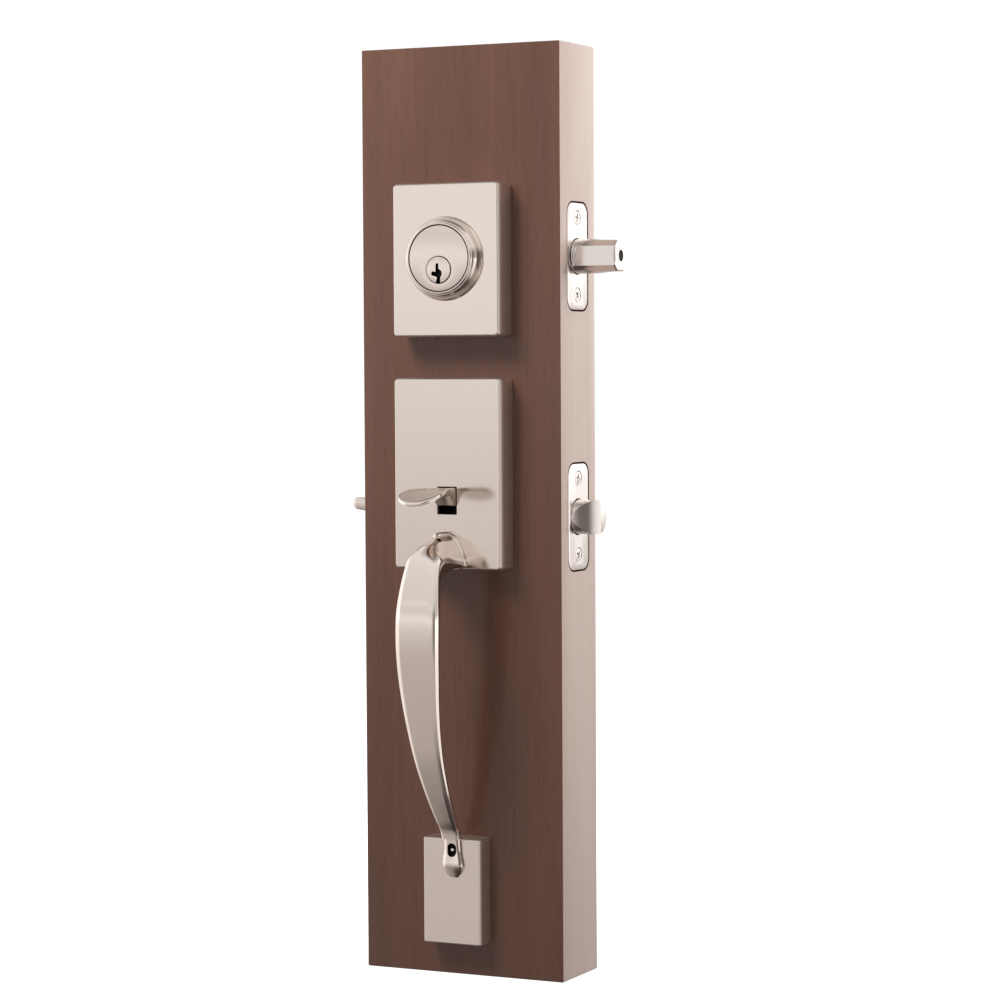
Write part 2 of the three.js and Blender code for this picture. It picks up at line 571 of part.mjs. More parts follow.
// The thumb latch: a leaf-shaped paddle outside, a stem in the plate's slot, and inside the
// plate a bent arm whose finger lies under the cam on the spindle.
function thumbLatch() {
  const crest = THUMB_PIVOT.z + 5.2;
  const steps = 14;
  const rings = [];
  for (let i = 0; i <= steps; i++) {
    const t = Math.sin((i / steps) * Math.PI / 2);
    const y = LEAF.root + (LEAF.tip + 0.1 - LEAF.root) * t;
    const half = Math.max(1, leafHalf(y));
    const drop = LEAF.drop * Math.max(0, (-57 - y) / (-57 - LEAF.tip)) ** 1.7;
    rings.push(leafRing(y, half, crest - drop, LEAF.thickness, Math.min(1, half / 8)));
  }
  const half = THUMB_STEM / 2;
  const [floor, top] = [LATCH_Z - 10.6, LATCH_Z - 8];
  const stem = polygon([
    [plateFront - 8, crest - 1.8], [plateFront - 7.6, crest - 3.2], [plateFront - 1.2, 255.4],
    [THUMB_PIVOT.y - 3, 255.4], [THUMB_PIVOT.y - 2.6, floor], [THUMB_PIVOT.y + 2.4, floor],
    [THUMB_PIVOT.y + 3, crest - 2.2], [plateFront - 1, crest - 1.2],
  ]);
  const crosspiece = box(-half, 11, THUMB_PIVOT.y - 2.6, THUMB_PIVOT.y + 2.4, floor, top);
  const finger = box(7.7, 11, THUMB_PIVOT.y - 2.6, -14, floor, top);
  return cut(join(prismX(stem, -half, half), loft(rings), crosspiece, finger),
    rodX(THUMB_PIVOT.y, THUMB_PIVOT.z, 1.8, -11, 11));
}

// The cam on the spindle's outer end, with an arm over the thumb latch's finger.
function thumbCam() {
  const body = join(rodY(0, 0, 6.8, -17, -12.2, 24), box(0, 10, -16.2, -13, -2.4, 2.4));
  const half = SPINDLE / 2 + 0.2;
  return cut(body.rotateY(Math.PI / 8), box(-half, half, -18, -11, -half, half));
}

place(grip, 'handle_plate', 'nickel', handlePlate());
place(grip, 'thumb_latch', 'nickel', thumbLatch());
place(grip, 'thumb_pivot_pin', 'steel', rodX(THUMB_PIVOT.y, THUMB_PIVOT.z, 1.5, -10.4, 10.4));
place(grip, 'thumb_cam', 'zinc', thumbCam().translate(0, 0, LATCH_Z));

// ---------- handleset: pull handle and foot ----------
// Stations along the handle, from its root on the plate to its end on the foot plate: the middle
// of the outer face (x, y, z), the direction inwards across the thickness as degrees below +Y,
// the half width, the thickness, the depth of the crown and the bulge of the inner face.
const HANDLE_STATIONS = [
  { x: 0, y: -37.6, z: 240.2, tilt: -90, half: 11, depth: 18.6, crown: 13, bulge: 0.2 },
  { x: 0, y: -48, z: 239.7, tilt: -88, half: 10.6, depth: 19, crown: 11, bulge: 0.4 },
  { x: 0, y: -56, z: 237.8, tilt: -75, half: 10.2, depth: 19.2, crown: 8, bulge: 0.8 },
  { x: 0, y: -62.2, z: 234.6, tilt: -58, half: 9.9, depth: 18.6, crown: 5.4, bulge: 1.6 },
  { x: 0, y: -66.8, z: 230, tilt: -43, half: 9.8, depth: 16.6, crown: 3.4, bulge: 2.8 },
  { x: 0, y: -70.2, z: 223.5, tilt: -28, half: 10.1, depth: 14.4, crown: 2.2, bulge: 4.2 },
  { x: 0, y: -73.4, z: 214.5, tilt: -17, half: 11.1, depth: 13, crown: 1.6, bulge: 5.2 },
  { x: 0, y: -75.7, z: 205, tilt: -10, half: 12, depth: 12.2, crown: 1.3, bulge: 6 },
  { x: 0, y: -76.8, z: 195, tilt: -4, half: 12.5, depth: 11.6, crown: 1.2, bulge: 6.2 },
  { x: 0, y: -76.8, z: 180.2, tilt: 3, half: 12.4, depth: 10.5, crown: 1.2, bulge: 6 },
  { x: 0, y: -75.2, z: 165.3, tilt: 8, half: 11.8, depth: 9.2, crown: 1.2, bulge: 5.6 },
  { x: 0, y: -72.4, z: 150.2, tilt: 13, half: 10.7, depth: 8.2, crown: 1.1, bulge: 5 },
  { x: 0.2, y: -68.6, z: 134.9, tilt: 17, half: 9.5, depth: 7.4, crown: 1, bulge: 4.6 },
  { x: 0.5, y: -63.4, z: 119.4, tilt: 24, half: 8.4, depth: 6.6, crown: 1, bulge: 4 },
  { x: 0.8, y: -55.4, z: 103.1, tilt: 29, half: 7.2, depth: 6, crown: 0.9, bulge: 3.4 },
  { x: 1.1, y: -45.8, z: 87, tilt: 32, half: 6, depth: 5.4, crown: 0.9, bulge: 2.4 },
  { x: 1.3, y: -41.4, z: 80.4, tilt: 27, half: 5.4, depth: 4.8, crown: 0.9, bulge: 1.6 },
  { x: 1.4, y: -39.8, z: 76, tilt: 8, half: 5, depth: 3.6, crown: 0.9, bulge: 0.6 },
];

// A closed section of the handle: a crowned outer face, straight sides and a bulging inner face.
function handleRing({ x, y, z, tilt, half, depth, crown, bulge }) {
  const turn = THREE.MathUtils.degToRad(tilt);
  const points = [];
  const add = (across, inwards) => points.push(
    [x + across, y + Math.cos(turn) * inwards, z + Math.sin(turn) * inwards]);
  const flatness = crown > 3 ? 1 : 0.45 + 0.55 * Math.max(0, (crown - 1.2) / 1.8);
  for (let i = 0; i <= 8; i++) {
    const angle = Math.PI * (1 - i / 8);
    const across = Math.sign(Math.cos(angle)) * Math.abs(Math.cos(angle)) ** flatness;
    add(half * across, crown * (1 - Math.sin(angle) ** flatness));
  }
  for (let i = 0; i <= 6; i++) {
    const angle = (Math.PI * i) / 6;
    add(half * Math.cos(angle), depth - bulge + bulge * Math.sin(angle));
  }
  return points;
}

// The pad on the foot plate, in levels from its top down: height, middle, half width, thickness.
const PAD_LEVELS = [
  [81, 1.3, 4.9, 4.4], [77, 1.4, 4.8, 4.2], [70, 1.5, 5.1, 3.9], [65, 1.6, 5.9, 4.2],
  [62, 1.7, 6.2, 4.4], [60.6, 1.7, 6, 3.9], [57.6, 1.7, 4.8, 2.2], [55, 1.7, 2.4, 0.7],
];
const footFront = OUT - FOOT.depth;

function padRing([z, x, half, thickness]) {
  const points = [];
  for (let i = 0; i <= 8; i++) {
    const angle = Math.PI * (1 - i / 8);
    points.push([x + half * Math.cos(angle),
      footFront - SEAT - thickness * Math.max(0, Math.sin(angle)) ** 0.6, z]);
  }
  return points;
}

function pullHandle() {
  const lug = rodY(-1.6, 239, 2.4, -47.5, plateFront - SEAT, 12);
  const screwHole = (x, z, radius, y0, y1) => rodY(x, z, radius, y0, y1);
  return cut(join(loft(HANDLE_STATIONS.map(handleRing)), lug, loft(PAD_LEVELS.map(padRing))),
    prismY(roundedRect(FOOT_SCREW_X, FOOT_SCREW_Z, 6.6, 8.6, 3.1), footFront - 7, footFront - 2, 0, 5),
    screwHole(FOOT_SCREW_X, FOOT_SCREW_Z, 2.5, footFront - 3, footFront + 1),
    screwHole(0, HANDLE_SCREW_Z, 2.25, -51, plateFront + 1));
}

place(grip, 'pull_handle', 'nickel', pullHandle());
place(grip, 'handle_top_screw', 'steel', aim(
  screw({ ...panScrew, length: 18 }), TOWARDS.interior, 0, plateWall + SEAT + panScrew.headHeight,
  HANDLE_SCREW_Z));
place(grip, 'foot_plate', 'nickel',
  trimShell(FOOT, -1, rodY(FOOT_SCREW_X, FOOT_SCREW_Z, 2.6, footFront - 1, OUT)));
place(grip, 'foot_screw', 'steel', aim(
  screw({ head: 2.9, headHeight: 1.5, shank: 2, length: FOOT_SCREW.length }),
  TOWARDS.exterior, FOOT_SCREW_X, FOOT_SCREW.front, FOOT_SCREW_Z));

// ---------- spring latch in the door ----------
const latch = assembly();
const LATCH_REACH = LATCH_TRAVEL / 2 / Math.sin(Math.PI / 8);
const LATCH_TIP = EDGE + LATCH_THROW;
const LATCH_BACK = 46;
const LATCH_SLEEVE = { start: 22.5, lip: 1.6 };

// The latch: a round bar with a bevel on its exterior side, and a tail slotted for the crank pin.
function latchBolt() {
  const half = CRANK_ARM.pin + CRANK_ARM.slot;
  const pinX = LATCH_TRAVEL / 2;
  const bevel = polygon([[EDGE + 0.8, -LATCH_RADIUS], [LATCH_TIP, 1.2], [LATCH_TIP + 3, 1.2],
    [LATCH_TIP + 3, -LATCH_RADIUS - 2], [EDGE + 0.8, -LATCH_RADIUS - 2]]);
  const wedge = new THREE.ExtrudeGeometry(bevel, { depth: 24, bevelEnabled: false })
    .translate(0, 0, LATCH_Z - 12);
  const bar = cut(rodX(0, LATCH_Z, LATCH_RADIUS, LATCH_BACK, LATCH_TIP, ROUND), wedge);
  const tail = polygon([
    [pinX - half - 2.6, 8.3], [21.2, 8.3], [21.2, -3.4], [LATCH_BACK + 2, -3.4],
    [LATCH_BACK + 2, 6.2], [24.2, 6.2], [24.2, 8.8], [17, 12], [pinX + half + 2.6, 20],
    [pinX - half - 2.6, 20],
  ].map(([x, z]) => [x, z + LATCH_Z]));
  const slot = box(pinX - half, pinX + half, -3, 3, LATCH_Z + LATCH_REACH * Math.cos(Math.PI / 8) - 3,
    LATCH_Z + LATCH_REACH + half);
  return cut(join(bar, prismY(tail, -1.5, 1.5)), slot);
}

place(latch, 'latch_bolt', 'steel', latchBolt());
place(latch, 'latch_spring', 'spring', aim(
  coil(7.5, 0.5, LATCH_BACK - LATCH_SLEEVE.start - LATCH_SLEEVE.lip - 2 * GAP, 6),
  TOWARDS.edge, LATCH_SLEEVE.start + LATCH_SLEEVE.lip + GAP, 0, LATCH_Z));
place(latch, 'latch_sleeve', 'zinc', sleeve(LATCH_Z, LATCH_SLEEVE.start, LATCH_SLEEVE.lip));
place(latch, 'latch_case', 'zinc', bolt_case(LATCH_Z, LATCH_Z, 7.5, -21, 22,
  LATCH_Z - 9.5, LATCH_Z + 21.8, 6.4, []));
place(latch, 'latch_crank', 'zinc', crank({
  hub: 7.4, hubHalf: 5.9, journal: 6.4, journalHalf: 8.4, reach: LATCH_REACH,
  rest: Math.PI / 8, socket: [SPINDLE + 0.4, SPINDLE + 0.4],
}).translate(0, 0, LATCH_Z));
edgePlates(latch, 'latch', LATCH_Z, LATCH_RADIUS + 0.5);

// ---------- interior lever ----------
const lever = assembly();
const leverFront = INN + LEVER_ROSE.depth;
const LEVER = { hub: 9.6, hubEnd: leverFront + 32, tipX: -110, rise: 2.6 };

place(lever, 'lever_mounting_plate', 'zinc', cut(
  prismY(roundedRect(0, LATCH_Z, 60, 60, 6), mountingPlate.near, mountingPlate.far),
  rodY(0, LATCH_Z, 8.8, INN - 1, INN + 5, 24),
  ...[-1, 1].map((side) => rodY(side * LEVER_SCREW.x, LEVER_SCREW.z, 2.5, INN - 1, INN + 5))));
for (const [end, side] of [['left', -1], ['right', 1]]) {
  const head = mountingPlate.far + SEAT + panScrew.headHeight;
  place(lever, `lever_through_screw_${end}`, 'steel', aim(
    screw({ ...panScrew, length: head + 28 }), TOWARDS.interior, side * LEVER_SCREW.x, head,
    LEVER_SCREW.z));
}
place(lever, 'lever_rose', 'nickel',
  trimShell(LEVER_ROSE, 1, rodY(0, LATCH_Z, 8.5, INN, leverFront + 1, 28)));

// One cross-section of the lever's arm, square to X.
function leverRing(x, y, z, depth, height) {
  const points = [];
  for (let i = 0; i < 12; i++) {
    const turn = (2 * Math.PI * (i + 0.5)) / 12;
    const squash = (value) => Math.sign(value) * Math.abs(value) ** 0.6;
    points.push([x, y + (depth / 2) * squash(Math.cos(turn)), z + (height / 2) * squash(Math.sin(turn))]);
  }
  return points;
}

function interiorLever() {
  const y = LEVER.hubEnd - 6.4;
  const rings = [];
  const steps = 12;
  for (let i = 0; i <= steps; i++) {
    const t = i / steps;
    const z = LATCH_Z + LEVER.rise * t - 2.4 * Math.sin(Math.PI * t);
    const blunt = i === steps ? 0.72 : 1;
    rings.push(leverRing(4 + (LEVER.tipX - 4) * t, y + 1.5 * Math.sin(Math.PI * t),
      z, (10 - 3.4 * t) * blunt, (17 - 9.8 * t) * blunt));
  }
  const socket = SPINDLE / 2 + 0.2;
  return cut(join(
    turnedY(0, LATCH_Z, [[0, INN + 4.2], [8, INN + 4.2], [8, leverFront - 3.3],
      [7.3, leverFront - 3.3], [7.3, leverFront - 1.9], [8, leverFront - 1.9],
      [8, leverFront + GAP], [LEVER.hub, leverFront + GAP], [LEVER.hub, LEVER.hubEnd - 1.2],
      [LEVER.hub - 1.2, LEVER.hubEnd], [0, LEVER.hubEnd]], 20),
    loft(rings)),
  box(-socket, socket, INN, INN + 29, LATCH_Z - socket, LATCH_Z + socket),
  rodZ(0, leverFront + 8, 2.2, LATCH_Z - 12, LATCH_Z));
}

place(lever, 'interior_lever', 'nickel', interiorLever());
place(lever, 'lever_clip', 'spring',
  retainingRing(LATCH_Z, 7.5, 11.5, leverFront - 3.2, leverFront - 2.1));
place(lever, 'lever_return_spring', 'spring',
  coil(10.8, 0.6, leverFront - 3.8 - mountingPlate.far - 0.8, 2.6, 12)
    .translate(0, mountingPlate.far + 0.5, LATCH_Z));
place(lever, 'lever_spindle', 'zinc', box(-SPINDLE / 2, SPINDLE / 2, -17.5, INN + 28,
  LATCH_Z - SPINDLE / 2, LATCH_Z + SPINDLE / 2));
place(lever, 'lever_set_screw', 'steel',
  rodZ(0, leverFront + 8, 1.9, LATCH_Z - 9.4, LATCH_Z - SPINDLE / 2 - GAP, 12));

export default handleset;
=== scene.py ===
"""A deadbolt and handleset mounted on a short section of door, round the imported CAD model."""
import json
import math

import bmesh
import bpy
from mathutils import Matrix, Vector


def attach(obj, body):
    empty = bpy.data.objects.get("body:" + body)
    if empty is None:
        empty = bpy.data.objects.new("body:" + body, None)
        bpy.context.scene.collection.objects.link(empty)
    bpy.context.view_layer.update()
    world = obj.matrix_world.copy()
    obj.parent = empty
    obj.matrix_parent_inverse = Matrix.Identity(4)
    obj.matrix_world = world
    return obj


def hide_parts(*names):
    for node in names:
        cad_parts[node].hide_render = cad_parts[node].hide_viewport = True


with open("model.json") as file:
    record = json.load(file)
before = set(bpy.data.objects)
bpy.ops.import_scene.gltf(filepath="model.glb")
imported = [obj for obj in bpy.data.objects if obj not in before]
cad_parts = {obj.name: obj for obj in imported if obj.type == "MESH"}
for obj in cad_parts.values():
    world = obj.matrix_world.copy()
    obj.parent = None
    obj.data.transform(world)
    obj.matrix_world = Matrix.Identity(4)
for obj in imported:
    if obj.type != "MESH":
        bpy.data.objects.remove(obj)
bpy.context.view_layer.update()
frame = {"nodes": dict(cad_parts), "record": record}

scene = bpy.context.scene

# ---------- sizes, in millimetres ----------
MM = 0.001
HINGE_SIDE, EDGE = -58.4, 60.325  # the door section's cut side and lock edge
DOOR_HALF, DOOR_HEIGHT = 22.225, 502.0
OUT, INN = -DOOR_HALF, DOOR_HALF  # exterior and interior faces of the door
BOLT_Z, LATCH_Z, TURN_Z, CYLINDER_Z = 388.5, 248.8, 381.3, 387.5
ROSE = dict(width=63.7, height=82.4, depth=16.0, z=386.9)
PLATE = dict(width=64.2, height=102.9, depth=15.3, z=272.55)
FOOT = dict(width=34.5, height=57.8, depth=12.8, z=47.2)
INNER_ROSE = dict(width=63.7, height=82.4, depth=12.5, z=386.9)
LEVER_ROSE = dict(width=66.0, height=66.0, depth=12.0, z=248.8)
SEAT = 0.1  # gap between the door and what sits on it
ROSE_FRONT = OUT - ROSE["depth"]
PLATE_FRONT = OUT - PLATE["depth"]
FOOT_FRONT = OUT - FOOT["depth"]
CYLINDER_FRONT = OUT - 23.7
SLOT = dict(half=5.9, low=250.7, high=265.7)
FACEPLATE = dict(width=25.4, height=57.15, corner=6.35, thickness=2.4)
SCREW_SPACING = 41.3
FOOT_SCREW = (2.2, 70.2)
CROSS_BORE, BOLT_BORE = 27.0, 12.7  # radii of the holes through the door and in from its edge
ROSE_OPENING = 20.9  # radius
GRIP_SCREW_Z = 230.0  # height of the screw through the plate into the handle's root


# ---------- node helpers ----------
def new_material(name):
    """A material with a Principled shader; returns (material, nodes, links, shader)."""
    material = bpy.data.materials.new(name)
    material.use_nodes = True
    tree = material.node_tree
    return material, tree.nodes, tree.links, tree.nodes["Principled BSDF"]


def stretched_noise(nodes, links, scale, stretch, detail=3.0, rough=0.55):
    """Noise in object coordinates, drawn out along the axes by dividing them by stretch."""
    where = nodes.new("ShaderNodeTexCoord")
    mapping = nodes.new("ShaderNodeMapping")
    mapping.inputs["Scale"].default_value = stretch
    links.new(where.outputs["Object"], mapping.inputs["Vector"])
    noise = nodes.new("ShaderNodeTexNoise")
    noise.inputs["Scale"].default_value = scale
    noise.inputs["Detail"].default_value = detail
    noise.inputs["Roughness"].default_value = rough
    links.new(mapping.outputs["Vector"], noise.inputs["Vector"])
    return noise.outputs["Fac"]


def ramp(nodes, links, source, stops):
    """A colour ramp; stops are (position, grey or colour)."""
    node = nodes.new("ShaderNodeValToRGB")
    elements = node.color_ramp.elements
    while len(elements) > 1:
        elements.remove(elements[-1])
    for i, (at, value) in enumerate(stops):
        element = elements[0] if i == 0 else elements.new(at)
        element.position = at
        rgb = (value,) * 3 if isinstance(value, (int, float)) else value
        element.color = (*rgb, 1.0)
    links.new(source, node.inputs["Fac"])
    return node.outputs["Color"]


def mix_colour(nodes, links, kind, factor, a, b):
    node = nodes.new("ShaderNodeMix")
    node.data_type, node.blend_type = "RGBA", kind
    for socket, value in ((node.inputs[0], factor), (node.inputs[6], a), (node.inputs[7], b)):
        if isinstance(value, bpy.types.NodeSocket):
            links.new(value, socket)
        elif isinstance(value, (int, float)):
            socket.default_value = value
        else:
            socket.default_value = (*value, 1.0)
    return node.outputs[2]


def bump(nodes, links, height, strength, distance):
    node = nodes.new("ShaderNodeBump")
    node.inputs["Strength"].default_value = strength
    node.inputs["Distance"].default_value = distance
    links.new(height, node.inputs["Height"])
    return node.outputs["Normal"]


# ---------- materials ----------
def metal(name, colour, rough, spread, grain=(1.0, 1.0, 1.0), scale=2600.0, depth=0.04, tint=0.05):
    """A plated metal with a fine brushed grain in its roughness, bump and colour."""
    material, nodes, links, shader = new_material(name)
    fine = stretched_noise(nodes, links, scale, grain, 4.0)
    broad = stretched_noise(nodes, links, 60.0, (1.0, 1.0, 1.0), 2.0)
    low = tuple(c * (1 - tint) for c in colour)
    links.new(ramp(nodes, links, fine, ((0.3, low), (0.7, colour))), shader.inputs["Base Color"])
    roughness = mix_colour(nodes, links, "MIX", 0.4,
                           ramp(nodes, links, fine, ((0.25, rough - spread), (0.75, rough + spread))),
                           ramp(nodes, links, broad, ((0.3, rough - spread), (0.7, rough + spread))))
    links.new(roughness, shader.inputs["Roughness"])
    links.new(bump(nodes, links, fine, depth, 0.00005), shader.inputs["Normal"])
    shader.inputs["Metallic"].default_value = 1.0
    return material


def wood(name, tones, streaks=0.55):
    """Veneer with straight upright grain under a satin lacquer; tones run from dark to light."""
    material, nodes, links, shader = new_material(name)
    bands = stretched_noise(nodes, links, 26.0, (1.0, 1.0, 0.10), 5.0, 0.6)
    fibres = stretched_noise(nodes, links, 420.0, (1.0, 1.0, 0.025), 4.0, 0.6)
    pores = stretched_noise(nodes, links, 1500.0, (1.0, 1.0, 0.03), 2.0, 0.7)
    base = ramp(nodes, links, bands, ((0.30, tones[0]), (0.48, tones[1]), (0.66, tones[2])))
    streak = ramp(nodes, links, fibres, ((0.35, 0.80), (0.65, 1.0)))
    base = mix_colour(nodes, links, "MULTIPLY", streaks, base, streak)
    base = mix_colour(nodes, links, "MULTIPLY", streaks * 0.5, base,
                      ramp(nodes, links, pores, ((0.36, 0.35), (0.44, 1.0))))
    links.new(base, shader.inputs["Base Color"])
    links.new(ramp(nodes, links, fibres, ((0.3, 0.40), (0.7, 0.50))), shader.inputs["Roughness"])
    links.new(bump(nodes, links, fibres, 0.05, 0.0001), shader.inputs["Normal"])
    shader.inputs["Coat Weight"].default_value = 0.5
    shader.inputs["Coat Roughness"].default_value = 0.16
    shader.inputs["IOR"].default_value = 1.45
    return material


MATERIALS = {
    "lacquered_wood": wood("lacquered_wood", (
        (0.140, 0.058, 0.036), (0.166, 0.070, 0.045), (0.190, 0.082, 0.054))),
    # Paler wood for the lock edge: painted reflection of the bright surroundings on the gloss.
    "wood_painted_glare": wood("wood_painted_glare", (
        (0.52, 0.395, 0.34), (0.55, 0.42, 0.365), (0.58, 0.45, 0.39)), 0.2),
    "satin_nickel": metal("satin_nickel", (0.84, 0.755, 0.70), 0.135, 0.015, depth=0.03),
    "nickel_sides": metal("nickel_sides", (0.80, 0.72, 0.66), 0.46, 0.03),
    # A darker copy of the satin nickel, for painted shade and painted dark reflection on the thumb latch.
    "nickel_painted_shade": metal("nickel_painted_shade", (0.56, 0.485, 0.435), 0.24, 0.03),
    "bright_steel": metal("bright_steel", (0.84, 0.79, 0.755), 0.20, 0.03),
    "zinc_plate": metal("zinc_plate", (0.60, 0.61, 0.63), 0.40, 0.06, depth=0.1, tint=0.12),
    "brass": metal("brass", (0.74, 0.55, 0.27), 0.26, 0.05, tint=0.1),
    "spring_steel": metal("spring_steel", (0.36, 0.36, 0.37), 0.30, 0.06, tint=0.1),
    "hardened_steel": metal("hardened_steel", (0.035, 0.033, 0.03), 0.45, 0.06, tint=0.1),
}
SLOT_OF = {e["node"]: e["material_slot"] for e in frame["record"]["subparts"]} \
    if "subparts" in frame["record"] else {}
for node_name, node_object in frame["nodes"].items():
    node_object.data.materials.clear()
    node_object.data.materials.append(MATERIALS[SLOT_OF.get(node_name, "zinc_plate")])
BODY_OF = {node: body for body, nodes in frame["record"]["behaviour"]["bodies"].items()
           for node in nodes}


# ---------- mesh helpers ----------
def solid(points, faces):
    """An unnamed object from points in millimetres."""
    mesh = bpy.data.meshes.new("solid")
    mesh.from_pydata([Vector(p) * MM for p in points], [], faces)
    shape = bmesh.new()
    shape.from_mesh(mesh)
    bmesh.ops.remove_doubles(shape, verts=shape.verts, dist=1e-6)
    bmesh.ops.dissolve_degenerate(shape, edges=shape.edges, dist=1e-7)
    bmesh.ops.recalc_face_normals(shape, faces=shape.faces)
    shape.to_mesh(mesh)
    shape.free()
    made = bpy.data.objects.new("solid", mesh)
    scene.collection.objects.link(made)
    return made


def loft(rings, capped=True):
    """A solid through rings of equally many points."""
    count = len(rings[0])
    points = [p for ring in rings for p in ring]
    faces = []
    for i in range(len(rings) - 1):
        for j in range(count):
            k = (j + 1) % count
            faces.append((i * count + j, i * count + k, (i + 1) * count + k, (i + 1) * count + j))
    if capped:
        faces.append(tuple(range(count))[::-1])
        faces.append(tuple((len(rings) - 1) * count + j for j in range(count)))
    return solid(points, faces)


def modified(target, kind, **settings):
    """Applies one modifier to an object."""
    modifier = target.modifiers.new(kind, kind)
    for key, value in settings.items():
        setattr(modifier, key, value)
    bpy.context.view_layer.update()
    graph = bpy.context.evaluated_depsgraph_get()
    mesh = bpy.data.meshes.new_from_object(target.evaluated_get(graph))
    target.modifiers.clear()
    target.data = mesh
    return target


def combine(target, others, operation):
    for other in others:
        modified(target, "BOOLEAN", operation=operation, object=other, solver="EXACT",
                 use_self=operation == "UNION")
        bpy.data.objects.remove(other)
    return target


def cut(target, *tools):
    return combine(target, tools, "DIFFERENCE")


def fuse(target, *others):
    return combine(target, others, "UNION")


def piece(made, name, slot, nodes, sharp=32.0, weighted=False):
    """Names a finished solid, gives it its finish and lets it stand for its CAD nodes."""
    nodes = (nodes,) if isinstance(nodes, str) else nodes
    made.name = name
    made.data.name = name
    made.data.materials.clear()
    made.data.materials.append(MATERIALS[slot])
    made.data.shade_smooth()
    made.data.set_sharp_from_angle(angle=math.radians(sharp))
    if weighted:
        modifier = made.modifiers.new("normals", "WEIGHTED_NORMAL")
        modifier.keep_sharp = True
    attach(made, BODY_OF[nodes[0]])
    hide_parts(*nodes)
    return made


def finish_or_painted_light(made, slot, chosen):
    """Gives another material to the faces chosen by a test of their middle (mm) and normal; used for the
    coarser sides of the trims and for painted shade and painted reflection.
    """
    made.data.materials.append(MATERIALS[slot])
    for face in made.data.polygons:
        if chosen(face.center / MM, face.normal):
            face.material_index = len(made.data.materials) - 1
    return made


def arc(cx, cy, radius, start, end, steps):
    """Points along an arc, angles in degrees."""
    return [(cx + radius * math.cos(math.radians(start + (end - start) * i / steps)),
             cy + radius * math.sin(math.radians(start + (end - start) * i / steps)))
            for i in range(steps + 1)]


def rounded_outline(width, height, corner, steps=8):
    """A rounded rectangle round the origin, counter-clockwise."""
    w, h = width / 2 - corner, height / 2 - corner
    points = []
    for cx, cy, start in ((w, h, 0), (-w, h, 90), (-w, -h, 180), (w, -h, 270)):
        points += arc(cx, cy, corner, start, start + 90, steps)
    return points


def on_y(outline, y, cz, cx=0.0):
    return [(cx + u, y, cz + v) for u, v in outline]


def on_x(outline, x, cz, cy=0.0):
    return [(x, cy + u, cz + v) for u, v in outline]


def trim(plate, side, corner=2.4, edge=1.3, wall=2.2, fall=4.0):
    """A hollow trim shell on the door: side is -1 outside, +1 inside.

    Its front edge is a quarter ellipse, edge wide on the face and fall deep on the side."""
    w, h, z, depth = plate["width"], plate["height"], plate["z"], plate["depth"]
    seat = side * (DOOR_HALF + SEAT)
    front = side * (DOOR_HALF + depth)
    inner = front - side * wall
    rings = [on_y(rounded_outline(w - 2 * wall, h - 2 * wall, max(0.4, corner - 0.9)), y, z)
             for y in (inner, seat)]
    rings.append(on_y(rounded_outline(w - 0.3, h - 0.3, corner), seat, z))
    rings.append(on_y(rounded_outline(w, h, corner), seat + side * 0.25, z))
    for i in range(15):
        turn = math.radians(90 * i / 14)
        inset = edge * (1 - math.cos(turn))
        rings.append(on_y(rounded_outline(w - 2 * inset, h - 2 * inset, max(0.3, corner - inset * 0.6)),
                          front - side * fall * (1 - math.sin(turn)), z))
    return loft(rings)


def rod_y(x, z, radius, y0, y1, steps=64):
    outline = [(radius * math.cos(2 * math.pi * i / steps), radius * math.sin(2 * math.pi * i / steps))
               for i in range(steps)]
    return loft([on_y(outline, y0, z, x), on_y(outline, y1, z, x)])


def rod_x(y, z, radius, x0, x1, steps=64, end_radius=None):
    unit = [(math.cos(2 * math.pi * i / steps), math.sin(2 * math.pi * i / steps))
            for i in range(steps)]
    last = radius if end_radius is None else end_radius
    return loft([on_x([(radius * u, radius * v) for u, v in unit], x0, z, y),
                 on_x([(last * u, last * v) for u, v in unit], x1, z, y)])


def brick(x0, x1, y0, y1, z0, z1):
    base = [(x0, y0), (x1, y0), (x1, y1), (x0, y1)]
    return loft([[(x, y, z) for x, y in base] for z in (z0, z1)])


def lathe_y(x, z, profile, steps=96):
    """A closed body of revolution about an axis along Y; profile is (radius, y)."""
    rings = []
    for i in range(steps):
        turn = 2 * math.pi * i / steps
        rings.append([(x + r * math.cos(turn), y, z + r * math.sin(turn)) for r, y in profile])
    count = len(profile)
    points = [p for ring in rings for p in ring]
    faces = []
    for i in range(steps):
        n = (i + 1) % steps
        for j in range(count):
            k = (j + 1) % count
            if profile[j][0] < 1e-6 and profile[k][0] < 1e-6:
                continue
            faces.append((i * count + j, i * count + k, n * count + k, n * count + j))
    return solid(points, faces)


def eased(profile, radius, steps=4):
    """Rounds the corners of a profile of (a, b) points by up to radius."""
    result = []
    count = len(profile)
    for i, p in enumerate(profile):
        a, b, c = Vector(profile[i - 1]), Vector(p), Vector(profile[(i + 1) % count])
        u, v = a - b, c - b
        reach = min(radius, u.length * 0.45, v.length * 0.45)
        start, end = b + u.normalized() * reach, b + v.normalized() * reach
        for s in range(steps + 1):
            t = s / steps
            q = start * (1 - t) ** 2 + b * 2 * t * (1 - t) + end * t ** 2
            result.append((q.x, q.y))
    return result


def smooth_step(a, b, x):
    t = min(1.0, max(0.0, (x - a) / (b - a)))
    return t * t * (3 - 2 * t)


